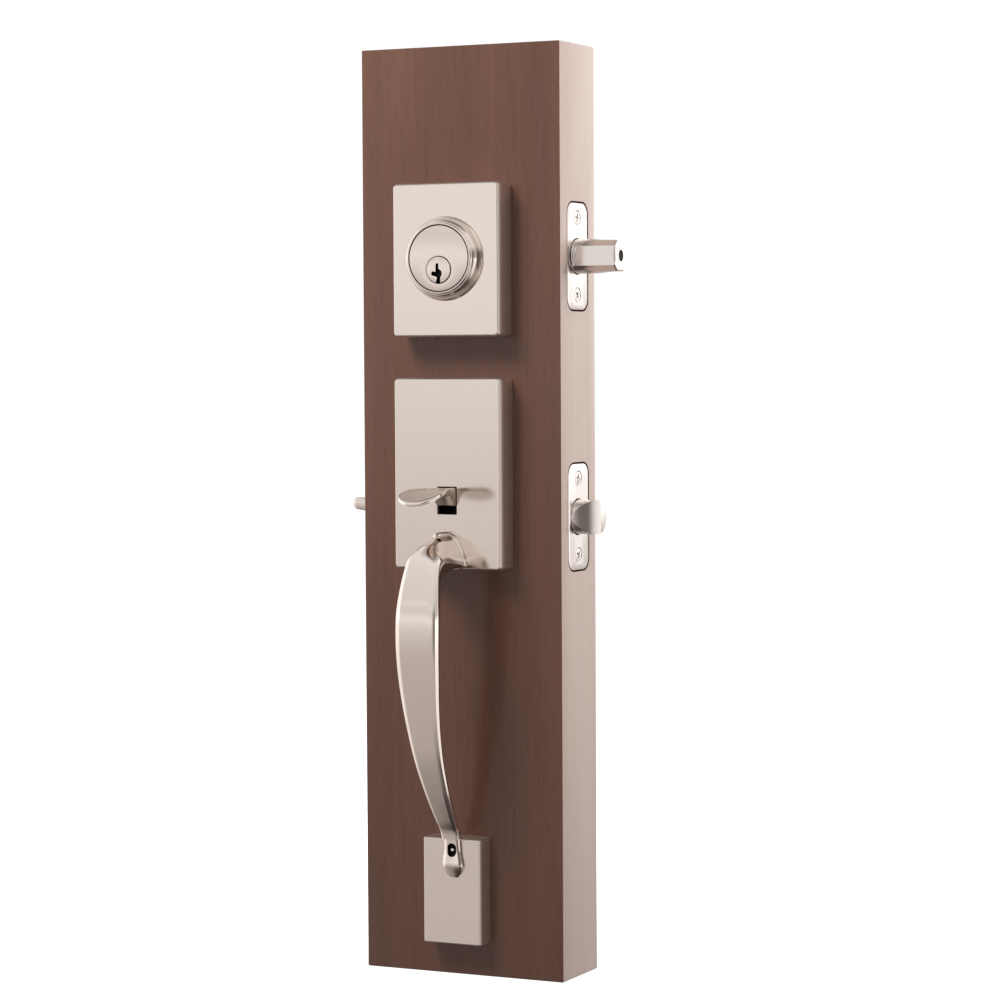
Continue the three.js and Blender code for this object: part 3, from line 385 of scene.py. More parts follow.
# ---------- door ----------
door = brick(HINGE_SIDE, EDGE, OUT, INN, 0, DOOR_HEIGHT)
modified(door, "BEVEL", width=0.6 * MM, segments=3, limit_method="ANGLE")
mortise = rounded_outline(FACEPLATE["width"] + 2.0, FACEPLATE["height"] + 1.8, 7.2)
for bolt_height in (BOLT_Z, LATCH_Z):
    cut(door,
        loft([on_x(mortise, x, bolt_height) for x in (EDGE - 4.2, EDGE + 3)]),
        rod_x(0, bolt_height, BOLT_BORE, 20, EDGE - 4),
        rod_y(0, bolt_height, CROSS_BORE, OUT - 3, INN + 3))
piece(door, "door_slab", "lacquered_wood", "door_section", sharp=40)
# The lock edge gets a paler wood colour: painted reflection of the bright surroundings on its glossy lacquer,
# over what is the same dark veneer.
finish_or_painted_light(door, "wood_painted_glare", lambda c, n: n.x > 0.9 and c.x > EDGE - 1)

# ---------- deadbolt: outside trim ----------
rose = cut(trim(ROSE, -1), rod_y(0, CYLINDER_Z, ROSE_OPENING, OUT - 30, OUT, 96))
piece(rose, "outer_rose", "satin_nickel", "deadbolt_rose", weighted=True)


def softer_sides(made):
    """The sides of a trim are brushed more coarsely than its face."""
    return finish_or_painted_light(made, "nickel_sides", lambda c, n: abs(n.y) < 0.985)


softer_sides(rose)

collar_profile = [
    (18.0, ROSE_FRONT + 3.9), (20.3, ROSE_FRONT + 3.9), (20.3, ROSE_FRONT - 0.1),
    (22.6, ROSE_FRONT - 0.1), (22.6, ROSE_FRONT - 0.85), (22.05, ROSE_FRONT - 1.35),
    (21.75, ROSE_FRONT - 1.5), (21.55, ROSE_FRONT - 2.6), (21.2, ROSE_FRONT - 4.1),
    (20.75, ROSE_FRONT - 5.4), (20.1, ROSE_FRONT - 6.3), (19.5, ROSE_FRONT - 6.75),
    (19.3, ROSE_FRONT - 6.72), (19.15, ROSE_FRONT - 7.3), (18.75, ROSE_FRONT - 7.7),
    (18.2, ROSE_FRONT - 7.8), (17.95, ROSE_FRONT - 7.7), (17.95, ROSE_FRONT - 5),
]
piece(lathe_y(0, CYLINDER_Z, eased(collar_profile, 0.35, 3), 128), "collar", "satin_nickel",
      "cylinder_collar", sharp=50)

body = lathe_y(0, CYLINDER_Z, eased([
    (0, CYLINDER_FRONT + 29), (17.4, CYLINDER_FRONT + 29), (17.4, CYLINDER_FRONT),
    (0, CYLINDER_FRONT)], 0.22, 3), 128)
cut(body, rod_y(0, TURN_Z, 7.5, CYLINDER_FRONT - 3, CYLINDER_FRONT + 31, 96),
    rod_y(0, TURN_Z, 7.9, CYLINDER_FRONT - 3, CYLINDER_FRONT + 0.3, 96))
piece(body, "lock_cylinder", "satin_nickel", "cylinder_body", sharp=30)

PLUG_FACE = CYLINDER_FRONT - 0.28
KEYWAY_DEPTH = 4.2
plug = lathe_y(0, TURN_Z, eased([
    (0, CYLINDER_FRONT + 29.2), (7.1, CYLINDER_FRONT + 29.2), (7.1, PLUG_FACE), (0, PLUG_FACE)],
    0.5, 4), 96)
key_profile = [
    (-1.55, 3.5), (0.05, 3.5), (0.15, 0.4), (1.2, 0.1), (2.0, -1.0), (2.1, -2.6), (1.3, -4.0),
    (1.15, -5.2), (1.25, -8.2), (-1.45, -8.2), (-1.35, -5.6), (-0.7, -4.6), (-1.2, -3.6),
    (-2.4, -3.3), (-4.0, -2.9), (-4.3, -1.6), (-3.4, -0.6), (-2.3, -0.8), (-1.65, -1.2),
]
keyway = loft([on_y(eased(key_profile, 0.35, 2), y, TURN_Z)
               for y in (PLUG_FACE - 2, PLUG_FACE + KEYWAY_DEPTH)])
piece(cut(plug, keyway), "key_plug", "satin_nickel", "cylinder_plug", sharp=30)
# The inside of the keyway is painted near-black with the hardened steel finish: painted shade in the narrow
# slot.
finish_or_painted_light(plug, "hardened_steel", lambda c, n: PLUG_FACE + 0.2 < c.y < PLUG_FACE + 5
              and math.hypot(c.x, c.z - TURN_Z) < 6.9)

# ---------- deadbolt: bolt, faceplates and screws in the door's edge ----------
BOLT_RADIUS, BOLT_FLAT, BOLT_END = 9.3, 7.7, EDGE + 25.4
FLAT_ANGLE = math.degrees(math.acos(BOLT_FLAT / BOLT_RADIUS))


def bolt_ring(x, inset=0.0):
    """A section of the bolt: round at its base, eight-sided from its middle to its end."""
    corners = [FLAT_ANGLE, 63.0, 117.0, 180 - FLAT_ANGLE]
    corners += [-c for c in corners[::-1]]
    ring = []
    for k in range(len(corners)):
        a, b = corners[k], corners[(k + 1) % len(corners)]
        if b < a:
            b += 360
        middle = math.radians((a + b) / 2)
        sag = BOLT_RADIUS * math.cos(math.radians((b - a) / 2))
        on_side = abs(math.cos(middle)) > 0.9
        on_top = abs(math.sin(middle)) > 0.9
        for s in range(8):
            angle = a + (b - a) * s / 8
            rad = math.radians(angle)
            flat = sag / math.cos(rad - middle)
            if on_side:
                share = 1.0
            elif on_top:
                share = 0.85 * smooth_step(70.0, 84.0, x)
            else:
                share = smooth_step(65.0, 71.5, x)
            depth = (BOLT_RADIUS - flat) * share
            r = BOLT_RADIUS - depth - inset
            ring.append((x, r * math.cos(rad), BOLT_Z + r * math.sin(rad)))
    return ring


stations = [42.0, 56.0, 63.0] + [63.4 + 0.45 * i for i in range(20)] + [74.0, 78.0, 82.0]
rings = [bolt_ring(x) for x in stations]
rings += [bolt_ring(BOLT_END - 0.9), bolt_ring(BOLT_END - 0.25, 0.35), bolt_ring(BOLT_END, 0.9)]
bolt = cut(loft(rings), rod_x(0, BOLT_Z, 3.1, BOLT_END - 22, BOLT_END + 1))
RIB_CREST = 9.2  # kept within the bolt's round section
for rib_x in (60.75, 62.75):
    rib = [(rib_x + u, v) for u, v in rounded_outline(1.15, 2.4, 0.55, 6)]
    for side in (-1, 1):
        fuse(bolt, loft([[(x, side * (math.sqrt(RIB_CREST ** 2 - z * z) - 1.2) + y, BOLT_Z + z)
                          for x, y in rib]
                         for z in (-4.7, -3.8, -2.6, -1.3, 0, 1.3, 2.6, 3.8, 4.7)]))
PIN_SLOT = 2.3  # half width of a tail's slot for the crank pin


def prism_y(outline, y0, y1):
    return loft([[(x, y, z) for x, z in outline] for y in (y0, y1)])


def with_tail(bar, tail, pin_x, slot_low, slot_high):
    """Adds a bolt's flat tail, slotted for the crank pin."""
    fuse(bar, prism_y(tail, -1.5, 1.5))
    return cut(bar, brick(pin_x - PIN_SLOT, pin_x + PIN_SLOT, -3, 3, slot_low, slot_high))


with_tail(bolt, [(7.4, 388.9), (44, 388.9), (44, 395.9), (20, 395.9), (17.5, 403.9), (7.4, 403.9)],
          12.7, 391.1, 401.76)
piece(bolt, "dead_bolt", "bright_steel", "deadbolt_bolt", sharp=24)


def phillips_screw(name, node, x, z, slot_turn):
    """A flat-head screw along X with a cross recess, its head's face at x."""
    profile = eased([(0, 0), (3.55, 0), (3.75, -0.35), (1.85, -2.4), (1.8, -20), (0, -20)], 0.2, 2)
    made = lathe_y(0, 0, [(r, -y) for r, y in profile], 48)
    for turn in (0, 90):
        blade = loft([on_y([(-w, -0.55), (w, -0.55), (w, 0.55), (-w, 0.55)], y, 0)
                      for w, y in ((2.45, -0.4), (1.2, 2.2))])
        blade.data.transform(Matrix.Rotation(math.radians(turn + slot_turn), 4, "Y"))
        cut(made, blade)
    made.data.transform(Matrix.Rotation(math.radians(90), 4, "Z"))
    made.data.transform(Matrix.Translation((x * MM, 0, z * MM)))
    return piece(made, name, "bright_steel", node, sharp=28)


def faceplate(name, node, centre, hole):
    """A stamped faceplate with round corners, a bolt hole and two countersunk screw holes."""
    w, h, corner = FACEPLATE["width"], FACEPLATE["height"], FACEPLATE["corner"]
    back = EDGE - FACEPLATE["thickness"]
    levels = [(back, 0.0), (EDGE - 0.4, 0.0), (EDGE - 0.12, 0.12), (EDGE, 0.4)]
    made = loft([on_x(rounded_outline(w - 2 * i, h - 2 * i, corner - i, 12), x, centre)
                 for x, i in levels])
    tools = [rod_x(0, centre, hole, back - 1, EDGE + 1, 96),
             rod_x(0, centre, hole - 0.3, EDGE - 0.6, EDGE + 0.1, 96, hole + 0.4)]
    for z in (centre - SCREW_SPACING / 2, centre + SCREW_SPACING / 2):
        tools.append(rod_x(0, z, 2.2, back - 1, EDGE + 1, 48))
        tools.append(rod_x(0, z, 2.0, EDGE - 2.4, EDGE + 0.1, 48, 4.35))
    return piece(cut(made, *tools), name, "bright_steel", node, sharp=30)


for prefix, label, centre, hole in (("deadbolt", "upper", BOLT_Z, BOLT_RADIUS + 0.4),
                                    ("latch", "lower", LATCH_Z, 9.85)):
    faceplate(f"{label}_faceplate", f"{prefix}_faceplate", centre, hole)
    for end, z, turn in (("top", centre + SCREW_SPACING / 2, 12),
                         ("bottom", centre - SCREW_SPACING / 2, 33)):
        phillips_screw(f"{label}_screw_{end}", f"{prefix}_faceplate_screw_{end}", EDGE - 0.1, z, turn)

# ---------- spring latch ----------
LATCH_RADIUS, LATCH_TIP = 9.35, EDGE + 12.6
latch_levels = [(46.0, 0.0), (LATCH_TIP - 0.7, 0.0), (LATCH_TIP - 0.2, 0.22), (LATCH_TIP, 0.7)]
circle = [(math.cos(2 * math.pi * i / 96), math.sin(2 * math.pi * i / 96)) for i in range(96)]
latch = loft([on_x([((LATCH_RADIUS - i) * u, (LATCH_RADIUS - i) * v) for u, v in circle], x, LATCH_Z)
              for x, i in latch_levels])
nose = [Vector((EDGE + 0.6, -LATCH_RADIUS - 0.05)), Vector((EDGE + 9.0, -5.4)), Vector((LATCH_TIP, 1.2))]
wedge = []
for i in range(25):
    t = i / 24
    p = nose[0] * (1 - t) ** 2 + nose[1] * 2 * t * (1 - t) + nose[2] * t * t
    wedge.append((p.x, p.y))
wedge += [(LATCH_TIP + 3, 1.2), (LATCH_TIP + 3, -LATCH_RADIUS - 2), (EDGE + 0.6, -LATCH_RADIUS - 2)]
cut(latch, loft([[(x, y, z) for x, y in wedge] for z in (LATCH_Z - 12, LATCH_Z + 12)]))
with_tail(latch, [(x, LATCH_Z + z) for x, z in (
    (1.45, 8.3), (21.2, 8.3), (21.2, -3.4), (48, -3.4), (48, 6.2), (24.2, 6.2), (24.2, 8.8),
    (17, 12), (11.25, 20), (1.45, 20))], 6.35, LATCH_Z + 12.33, LATCH_Z + 18.9)
piece(latch, "spring_latch", "bright_steel", "latch_bolt", sharp=24)

# ---------- handleset: plate ----------
plate = trim(PLATE, -1)
for side in (-1, 1):
    fuse(plate, rod_y(side * 17.0, LATCH_Z - 14, 4.0, PLATE_FRONT + 1.5, -14, 48))
    fuse(plate, brick(side * 8.3 - 1.7, side * 8.3 + 1.7, PLATE_FRONT + 1.5, -27.0, 256.0, 264.0))
window = rounded_outline(2 * SLOT["half"], SLOT["high"] - SLOT["low"], 0.5, 4)
cut(plate, loft([on_y(window, y, (SLOT["high"] + SLOT["low"]) / 2)
                 for y in (PLATE_FRONT - 2, PLATE_FRONT + 5)]),
    rod_y(0, GRIP_SCREW_Z, 2.6, PLATE_FRONT - 1, OUT, 48))
piece(plate, "handle_trim", "satin_nickel", "handle_plate", weighted=True)
softer_sides(plate)

# ---------- thumb latch ----------
PIVOT_Y, PIVOT_Z = -31.0, LATCH_Z + 11.2
CREST = PIVOT_Z + 5.2
LEAF = dict(root=PLATE_FRONT - 2, widest=-67.5, tip=-79.9, neck=5.6, half=12.2, thick=2.8, drop=6.2)


def leaf_half(y):
    if y < LEAF["widest"]:
        t = (LEAF["widest"] - y) / (LEAF["widest"] - LEAF["tip"])
        return LEAF["half"] * math.sqrt(max(0.0, 1 - t * t))
    t = (y - LEAF["widest"]) / (LEAF["root"] - LEAF["widest"])
    return LEAF["neck"] + (LEAF["half"] - LEAF["neck"]) * (0.5 + 0.5 * math.cos(math.pi * min(1, t * 1.05)))


def leaf_top(y):
    return CREST - LEAF["drop"] * max(0.0, (-57 - y) / (-57 - LEAF["tip"])) ** 1.7


outline = []
for i in range(25):
    y = LEAF["root"] + (LEAF["widest"] - LEAF["root"]) * i / 24
    outline.append((leaf_half(y), y))
for i in range(1, 24):
    turn = math.pi / 2 * i / 24
    outline.append((LEAF["half"] * math.cos(turn),
                    LEAF["widest"] + (LEAF["tip"] - LEAF["widest"]) * math.sin(turn)))
outline = outline + [(0.0, LEAF["tip"])] + [(-x, y) for x, y in outline[::-1]]
inward = []
for i, (x, y) in enumerate(outline):
    before, after = outline[max(0, i - 1)], outline[min(len(outline) - 1, i + 1)]
    along = Vector((after[0] - before[0], after[1] - before[1])).normalized()
    inward.append(Vector((along.y, -along.x)))
if sum(n.x * x for n, (x, y) in zip(inward, outline)) > 0:
    inward = [-n for n in inward]
inward[0], inward[-1] = Vector((-1, 0)), Vector((1, 0))


def leaf_level(inset, lift, shrink=1.0):
    """One closed line of the paddle: the outline moved inwards, then drawn towards the middle."""
    ring = []
    for (x, y), n in zip(outline, inward):
        px, py = x + n.x * inset, y + n.y * inset
        px, py = px * shrink, -62 + (py + 62) * shrink
        ring.append((px, py, leaf_top(py) + lift))
    return ring


DISH = 1.35
levels = [leaf_level(1.9, -LEAF["thick"], s) for s in (0.25, 0.6, 1.0)]
levels += [leaf_level(0.9, -2.62), leaf_level(0.25, -2.15), leaf_level(0.0, -1.45),
           leaf_level(0.05, -0.75), leaf_level(0.35, -0.2), leaf_level(0.8, 0.0),
           leaf_level(1.15, -0.03), leaf_level(1.5, -0.25), leaf_level(2.0, -0.6, 0.985)]
levels += [leaf_level(2.0, -0.6 - (DISH - 0.6) * (1 - s * s) ** 0.7, s) for s in (0.93, 0.8, 0.6, 0.35, 0.12)]
paddle = loft(levels)
stem_outline = [
    (PLATE_FRONT - 10.5, CREST - 1.6), (PLATE_FRONT - 9.4, CREST - 3.0), (PLATE_FRONT - 6.4, CREST - 4.4),
    (PLATE_FRONT - 1.6, 255.5), (PIVOT_Y + 3, 255.4), (PIVOT_Y + 3, CREST - 2.2),
    (PLATE_FRONT - 1, CREST - 0.2)]
stem = loft([[(x, y, z) for y, z in eased(stem_outline, 0.5, 3)] for x in (-5.5, 5.5)])
modified(stem, "BEVEL", width=0.45 * MM, segments=3, limit_method="ANGLE",
         angle_limit=math.radians(50))
leg = brick(4.2, 6.3, PIVOT_Y - 2.6, PIVOT_Y + 2.4, LATCH_Z - 9, 257)
crosspiece = brick(4.2, 11, PIVOT_Y - 2.6, PIVOT_Y + 2.4, LATCH_Z - 10.6, LATCH_Z - 8)
finger = brick(7.7, 11, PIVOT_Y - 2.6, -14, LATCH_Z - 10.6, LATCH_Z - 8)
thumb = fuse(paddle, stem, leg, crosspiece, finger)
cut(thumb, loft([[(x, PIVOT_Y + 1.8 * math.cos(t * math.pi / 16), PIVOT_Z + 1.8 * math.sin(t * math.pi / 16))
                  for t in range(32)] for x in (-12, 12)]))
piece(thumb, "thumb_paddle", "satin_nickel", "thumb_latch", sharp=38)
# The paddle's top and the stem under the paddle get a darker copy of the nickel: painted shade and painted
# dark reflection.
finish_or_painted_light(thumb, "nickel_painted_shade", lambda c, n: (c.y < PLATE_FRONT - 12 and n.z > 0.6)
              or (c.y > PLATE_FRONT - 11 and c.z < CREST - 0.4))

# ---------- pull handle ----------
# Middle of the outer face (x, y, z), its tilt in degrees, half width, thickness and crown.
HANDLE = [
    (0, -37.6, 240.2, -90, 11, 18.6, 13), (0, -48, 239.7, -88, 10.6, 19, 11),
    (0, -56, 237.8, -75, 10.2, 19.2, 8), (0, -62.2, 234.6, -58, 9.9, 18.6, 5.4),
    (0, -66.8, 230, -43, 9.8, 16.6, 3.4), (0, -70.2, 223.5, -28, 10.1, 14.4, 2.2),
    (0, -73.4, 214.5, -17, 11.1, 13, 1.6), (0, -75.7, 205, -10, 12, 12.2, 1.3),
    (0, -76.8, 195, -4, 12.5, 11.6, 1.2), (0, -76.8, 180.2, 3, 12.4, 10.5, 1.2),
    (0, -75.2, 165.3, 8, 11.8, 9.2, 1.2), (0, -72.4, 150.2, 13, 10.7, 8.2, 1.1),
    (0.2, -68.6, 134.9, 17, 9.5, 7.4, 1), (0.5, -63.4, 119.4, 24, 8.4, 6.6, 1),
    (0.8, -55.4, 103.1, 29, 7.2, 6, 0.9), (1.1, -45.8, 87, 32, 6, 5.4, 0.9),
    (1.3, -41.4, 80.4, 27, 5.4, 4.8, 0.9), (1.4, -39.8, 76, 8, 5, 3.6, 0.9),
]


def spline(rows, position):
    """Catmull-Rom through rows of numbers, at a place from 0 to the last row."""
    i = min(int(position), len(rows) - 2)
    t = position - i
    p0, p1, p2, p3 = (rows[max(0, min(len(rows) - 1, k))] for k in (i - 1, i, i + 1, i + 2))
    return [0.5 * (2 * b + (c - a) * t + (2 * a - 5 * b + 4 * c - d) * t * t
                   + (3 * b - a - 3 * c + d) * t ** 3) for a, b, c, d in zip(p0, p1, p2, p3)]


RIDGE, RIDGE_FALL = 0.93, 0.6324  # where the outer face ends, and how far a full arch has fallen there


def handle_ring(x, y, z, tilt, half, depth, crown):
    """One closed section of the arm, in a plane tilted about X."""
    turn = math.radians(tilt)
    arch = min(1.0, max(0.0, (crown - 2.0) / 3.0))  # 1 where the arm's top is a full arch
    ring = []

    def add(across, inwards):
        ring.append((x + across, y + math.cos(turn) * inwards, z + math.sin(turn) * inwards))

    # The outer face: flat in the middle, falling away in a soft shoulder to a ridge.
    ridge = half * RIDGE
    for i in range(49):
        c = -math.cos(math.pi * i / 48)
        round_top = crown * (1 - math.sqrt(1 - (RIDGE * c) ** 2)) / RIDGE_FALL
        flat_top = 0.10 * c * c + 0.115 * half * max(0.0, (abs(c) - 0.70) / 0.30) ** 1.5
        add(ridge * c, flat_top * (1 - arch) + round_top * arch)
    # The sides: canted outwards to the widest line, then round to the inner face.
    start = (0.10 + 0.115 * half) * (1 - arch) + crown * arch
    widest = start + 2.4 * (half - ridge)
    for i in range(1, 7):
        t = i / 6
        add(ridge + (half - ridge) * t, start + (widest - start) * t)
    for i in range(29):
        angle = math.pi * i / 28
        add(half * math.cos(angle), widest + (depth - widest) * math.sin(angle) ** (0.75 - 0.15 * arch))
    for i in range(1, 7):
        t = 1 - i / 7
        add(-ridge - (half - ridge) * t, start + (widest - start) * t)
    return ring


STEPS = 7
handle = loft([handle_ring(*spline(HANDLE, k / STEPS)) for k in range((len(HANDLE) - 1) * STEPS + 1)])
# A boss on top of the arm, the lip round its root, and the pad that is screwed to the foot plate.
boss = lathe_y(-1.4, 239.0, [(0, -48.6), (1.0, -48.45), (1.9, -47.9), (2.5, -47.0), (2.75, -45.6),
                             (2.8, PLATE_FRONT - SEAT), (0, PLATE_FRONT - SEAT)], 48)
lip = loft([handle_ring(0, y, 240.2 + grow, -90, 11 + grow, 18.6 + 2 * grow, 13 + grow)
            for y, grow in ((PLATE_FRONT - SEAT, 0.55), (PLATE_FRONT - 0.7, 0.75),
                            (PLATE_FRONT - 1.3, 0.7), (PLATE_FRONT - 1.75, 0.35),
                            (PLATE_FRONT - 1.9, -0.2), (PLATE_FRONT - 1.9, -1.5))])
PAD = [
    (81, 1.3, 4.9, 4.4), (77, 1.4, 4.8, 4.2), (70, 1.5, 5.1, 3.9), (65, 1.6, 5.9, 4.2),
    (62, 1.7, 6.2, 4.4), (60.6, 1.7, 6.05, 3.9), (57.6, 1.7, 4.8, 2.2), (55, 1.7, 2.4, 0.7),
]


def pad_ring(z, x, half, thick):
    ring = []
    for i in range(33):
        angle = math.pi * (1 - i / 32)
        ring.append((x + half * math.cos(angle),
                     FOOT_FRONT - SEAT - thick * max(0.0, math.sin(angle)) ** 0.6, z))
    return ring


pad = loft([pad_ring(*spline(PAD, k / 5)) for k in range((len(PAD) - 1) * 5 + 1)])
fuse(handle, lip, boss, pad)
fx, fz = FOOT_SCREW
RECESS_HALF_WIDTH, RECESS_HALF_HEIGHT = 2.6, 3.8
recess = loft([on_y(rounded_outline(w, h, w / 2 - 0.05, 8), y, fz, fx)
               for w, h, y in ((2 * RECESS_HALF_WIDTH, 2 * RECESS_HALF_HEIGHT, FOOT_FRONT - 7),
                               (4.9, 7.2, FOOT_FRONT - 0.8))])
cut(handle, recess, rod_y(fx, fz, 2.1, FOOT_FRONT - 3, FOOT_FRONT + 1, 48),
    rod_y(0, GRIP_SCREW_Z, 2.25, -51, PLATE_FRONT + 1, 48))
piece(handle, "pull_grip", "satin_nickel", "pull_handle", sharp=34)
# The walls and floor of the recess are painted near-black with the hardened steel finish: painted shade in
# the hollow.
finish_or_painted_light(handle, "hardened_steel", lambda c, n: abs(c.x - fx) < RECESS_HALF_WIDTH + 0.2
              and abs(c.z - fz) < RECESS_HALF_HEIGHT + 0.2 and FOOT_FRONT - 4.6 < c.y < FOOT_FRONT - 0.5
              and (n.x * (c.x - fx) + n.z * (c.z - fz) < -0.4 or c.y > FOOT_FRONT - 1.1))

foot = cut(trim(FOOT, -1, corner=1.0, edge=1.0, fall=3.0), rod_y(fx, fz, 2.3, FOOT_FRONT - 1, OUT, 48))
piece(foot, "foot_trim", "satin_nickel", "foot_plate", weighted=True)
softer_sides(foot)
# A small hex screw that shows in the pad's recess.
foot_screw = lathe_y(fx, fz, eased([(0, FOOT_FRONT - 3.6), (0.75, FOOT_FRONT - 3.4), (1.25, FOOT_FRONT - 2.7),
                                    (1.3, FOOT_FRONT - 1.5), (1.9, FOOT_FRONT - 0.8), (1.9, -0.7), (0, -0.7)],
                                   0.25, 3), 48)
piece(foot_screw, "pad_screw", "bright_steel", "foot_screw", sharp=30)

# ---------- inside: thumbturn ----------
inner_rose = cut(trim(INNER_ROSE, 1), rod_y(0, TURN_Z, 6.2, INN, INN + 14, 64))
piece(inner_rose, "inner_rose", "satin_nickel", "deadbolt_inner_rose", weighted=True)
softer_sides(inner_rose)

front = INN + INNER_ROSE["depth"]
turn_shaft = lathe_y(0, TURN_Z, eased([
    (0, INN + 5), (5.8, INN + 5), (5.8, front - 3.3), (5.1, front - 3.3), (5.1, front - 1.9),
    (5.8, front - 1.9), (5.8, front + 0.3), (12, front + 0.3), (12, front + 1.9), (11.3, front + 3.2),
    (8.4, front + 4.3), (6.6, front + 6.2), (5.6, front + 9), (0, front + 9)], 0.5, 4), 96)
wing = []
for k in range(9):
    turn = math.pi * k / 8 - math.pi / 2
    inset = 1.5 * (1 - math.cos(turn))
    wing.append([(x, front + 11 + y, TURN_Z + 3.5 * math.sin(turn))
                 for x, y in rounded_outline(34 - 2 * inset, 16 - 2 * inset, 5.2 - inset, 10)])
turn_knob = fuse(turn_shaft, loft(wing))
cut(turn_knob, brick(-1.3, 1.3, INN, INN + 10, TURN_Z - 3.1, TURN_Z + 3.1))
piece(turn_knob, "turn_knob", "satin_nickel", "thumbturn", sharp=36)

# ---------- inside: lever ----------
lever_rose = cut(trim(LEVER_ROSE, 1), rod_y(0, LATCH_Z, 8.5, INN, INN + 14, 64))
piece(lever_rose, "lever_trim", "satin_nickel", "lever_rose", weighted=True)
softer_sides(lever_rose)

front = INN + LEVER_ROSE["depth"]
HUB_END = front + 32
hub = lathe_y(0, LATCH_Z, eased([
    (0, INN + 4.2), (8, INN + 4.2), (8, front - 3.3), (7.3, front - 3.3), (7.3, front - 1.9),
    (8, front - 1.9), (8, front + 0.3), (9.6, front + 0.3), (9.6, HUB_END), (0, HUB_END)], 1.1, 5), 96)
LEVER_TIP, LEVER_RISE = -110.0, 2.6
arm = []
for k in range(49):
    t = k / 48
    x = 4 + (LEVER_TIP - 4) * t
    blunt = 1.0 if t < 0.965 else 1 - 0.5 * (1 - math.sqrt(max(0.0, 1 - ((t - 0.965) / 0.035) ** 2)))
    cy = HUB_END - 6.4 + 1.5 * math.sin(math.pi * t)
    cz = LATCH_Z + LEVER_RISE * t - 2.4 * math.sin(math.pi * t)
    half_y, half_z = (5 - 1.7 * t) * blunt, (8.5 - 4.9 * t) * blunt
    arm.append([(x, cy + half_y * math.copysign(abs(math.cos(a)) ** 0.6, math.cos(a)),
                 cz + half_z * math.copysign(abs(math.sin(a)) ** 0.6, math.sin(a)))
                for a in (2 * math.pi * (j + 0.5) / 48 for j in range(48))])
lever = fuse(hub, loft(arm))
cut(lever, brick(-3.9, 3.9, INN, INN + 29, LATCH_Z - 3.9, LATCH_Z + 3.9),
    loft([[(2.2 * math.cos(a), front + 8 + 2.2 * math.sin(a), z)
           for a in (2 * math.pi * j / 40 for j in range(40))] for z in (LATCH_Z - 12, LATCH_Z)]))
piece(lever, "inside_lever", "satin_nickel", "interior_lever", sharp=42)

# ---------- camera ----------
YAW, PITCH, ROLL = 0.45370, -0.04448, -0.0054
CAMERA_AT = Vector((769.39, -1550.56, 333.90)) * MM
LENS, SENSOR = 114.19, 36.0
right = Vector((math.cos(YAW), math.sin(YAW), 0))
ahead = Vector((-math.sin(YAW) * math.cos(PITCH), math.cos(YAW) * math.cos(PITCH), math.sin(PITCH)))
up = right.cross(ahead)
side = right * math.cos(ROLL) + up * math.sin(ROLL)
up = up * math.cos(ROLL) - right * math.sin(ROLL)
camera_data = bpy.data.cameras.new("camera")
camera_data.lens, camera_data.sensor_width = LENS, SENSOR
camera_data.clip_end = 50
camera = bpy.data.objects.new("camera", camera_data)
camera.matrix_world = Matrix((side, up, -ahead)).transposed().to_4x4()
camera.location = CAMERA_AT
scene.collection.objects.link(camera)
scene.camera = camera

# ---------- studio ----------
scene.view_settings.view_transform = "Standard"


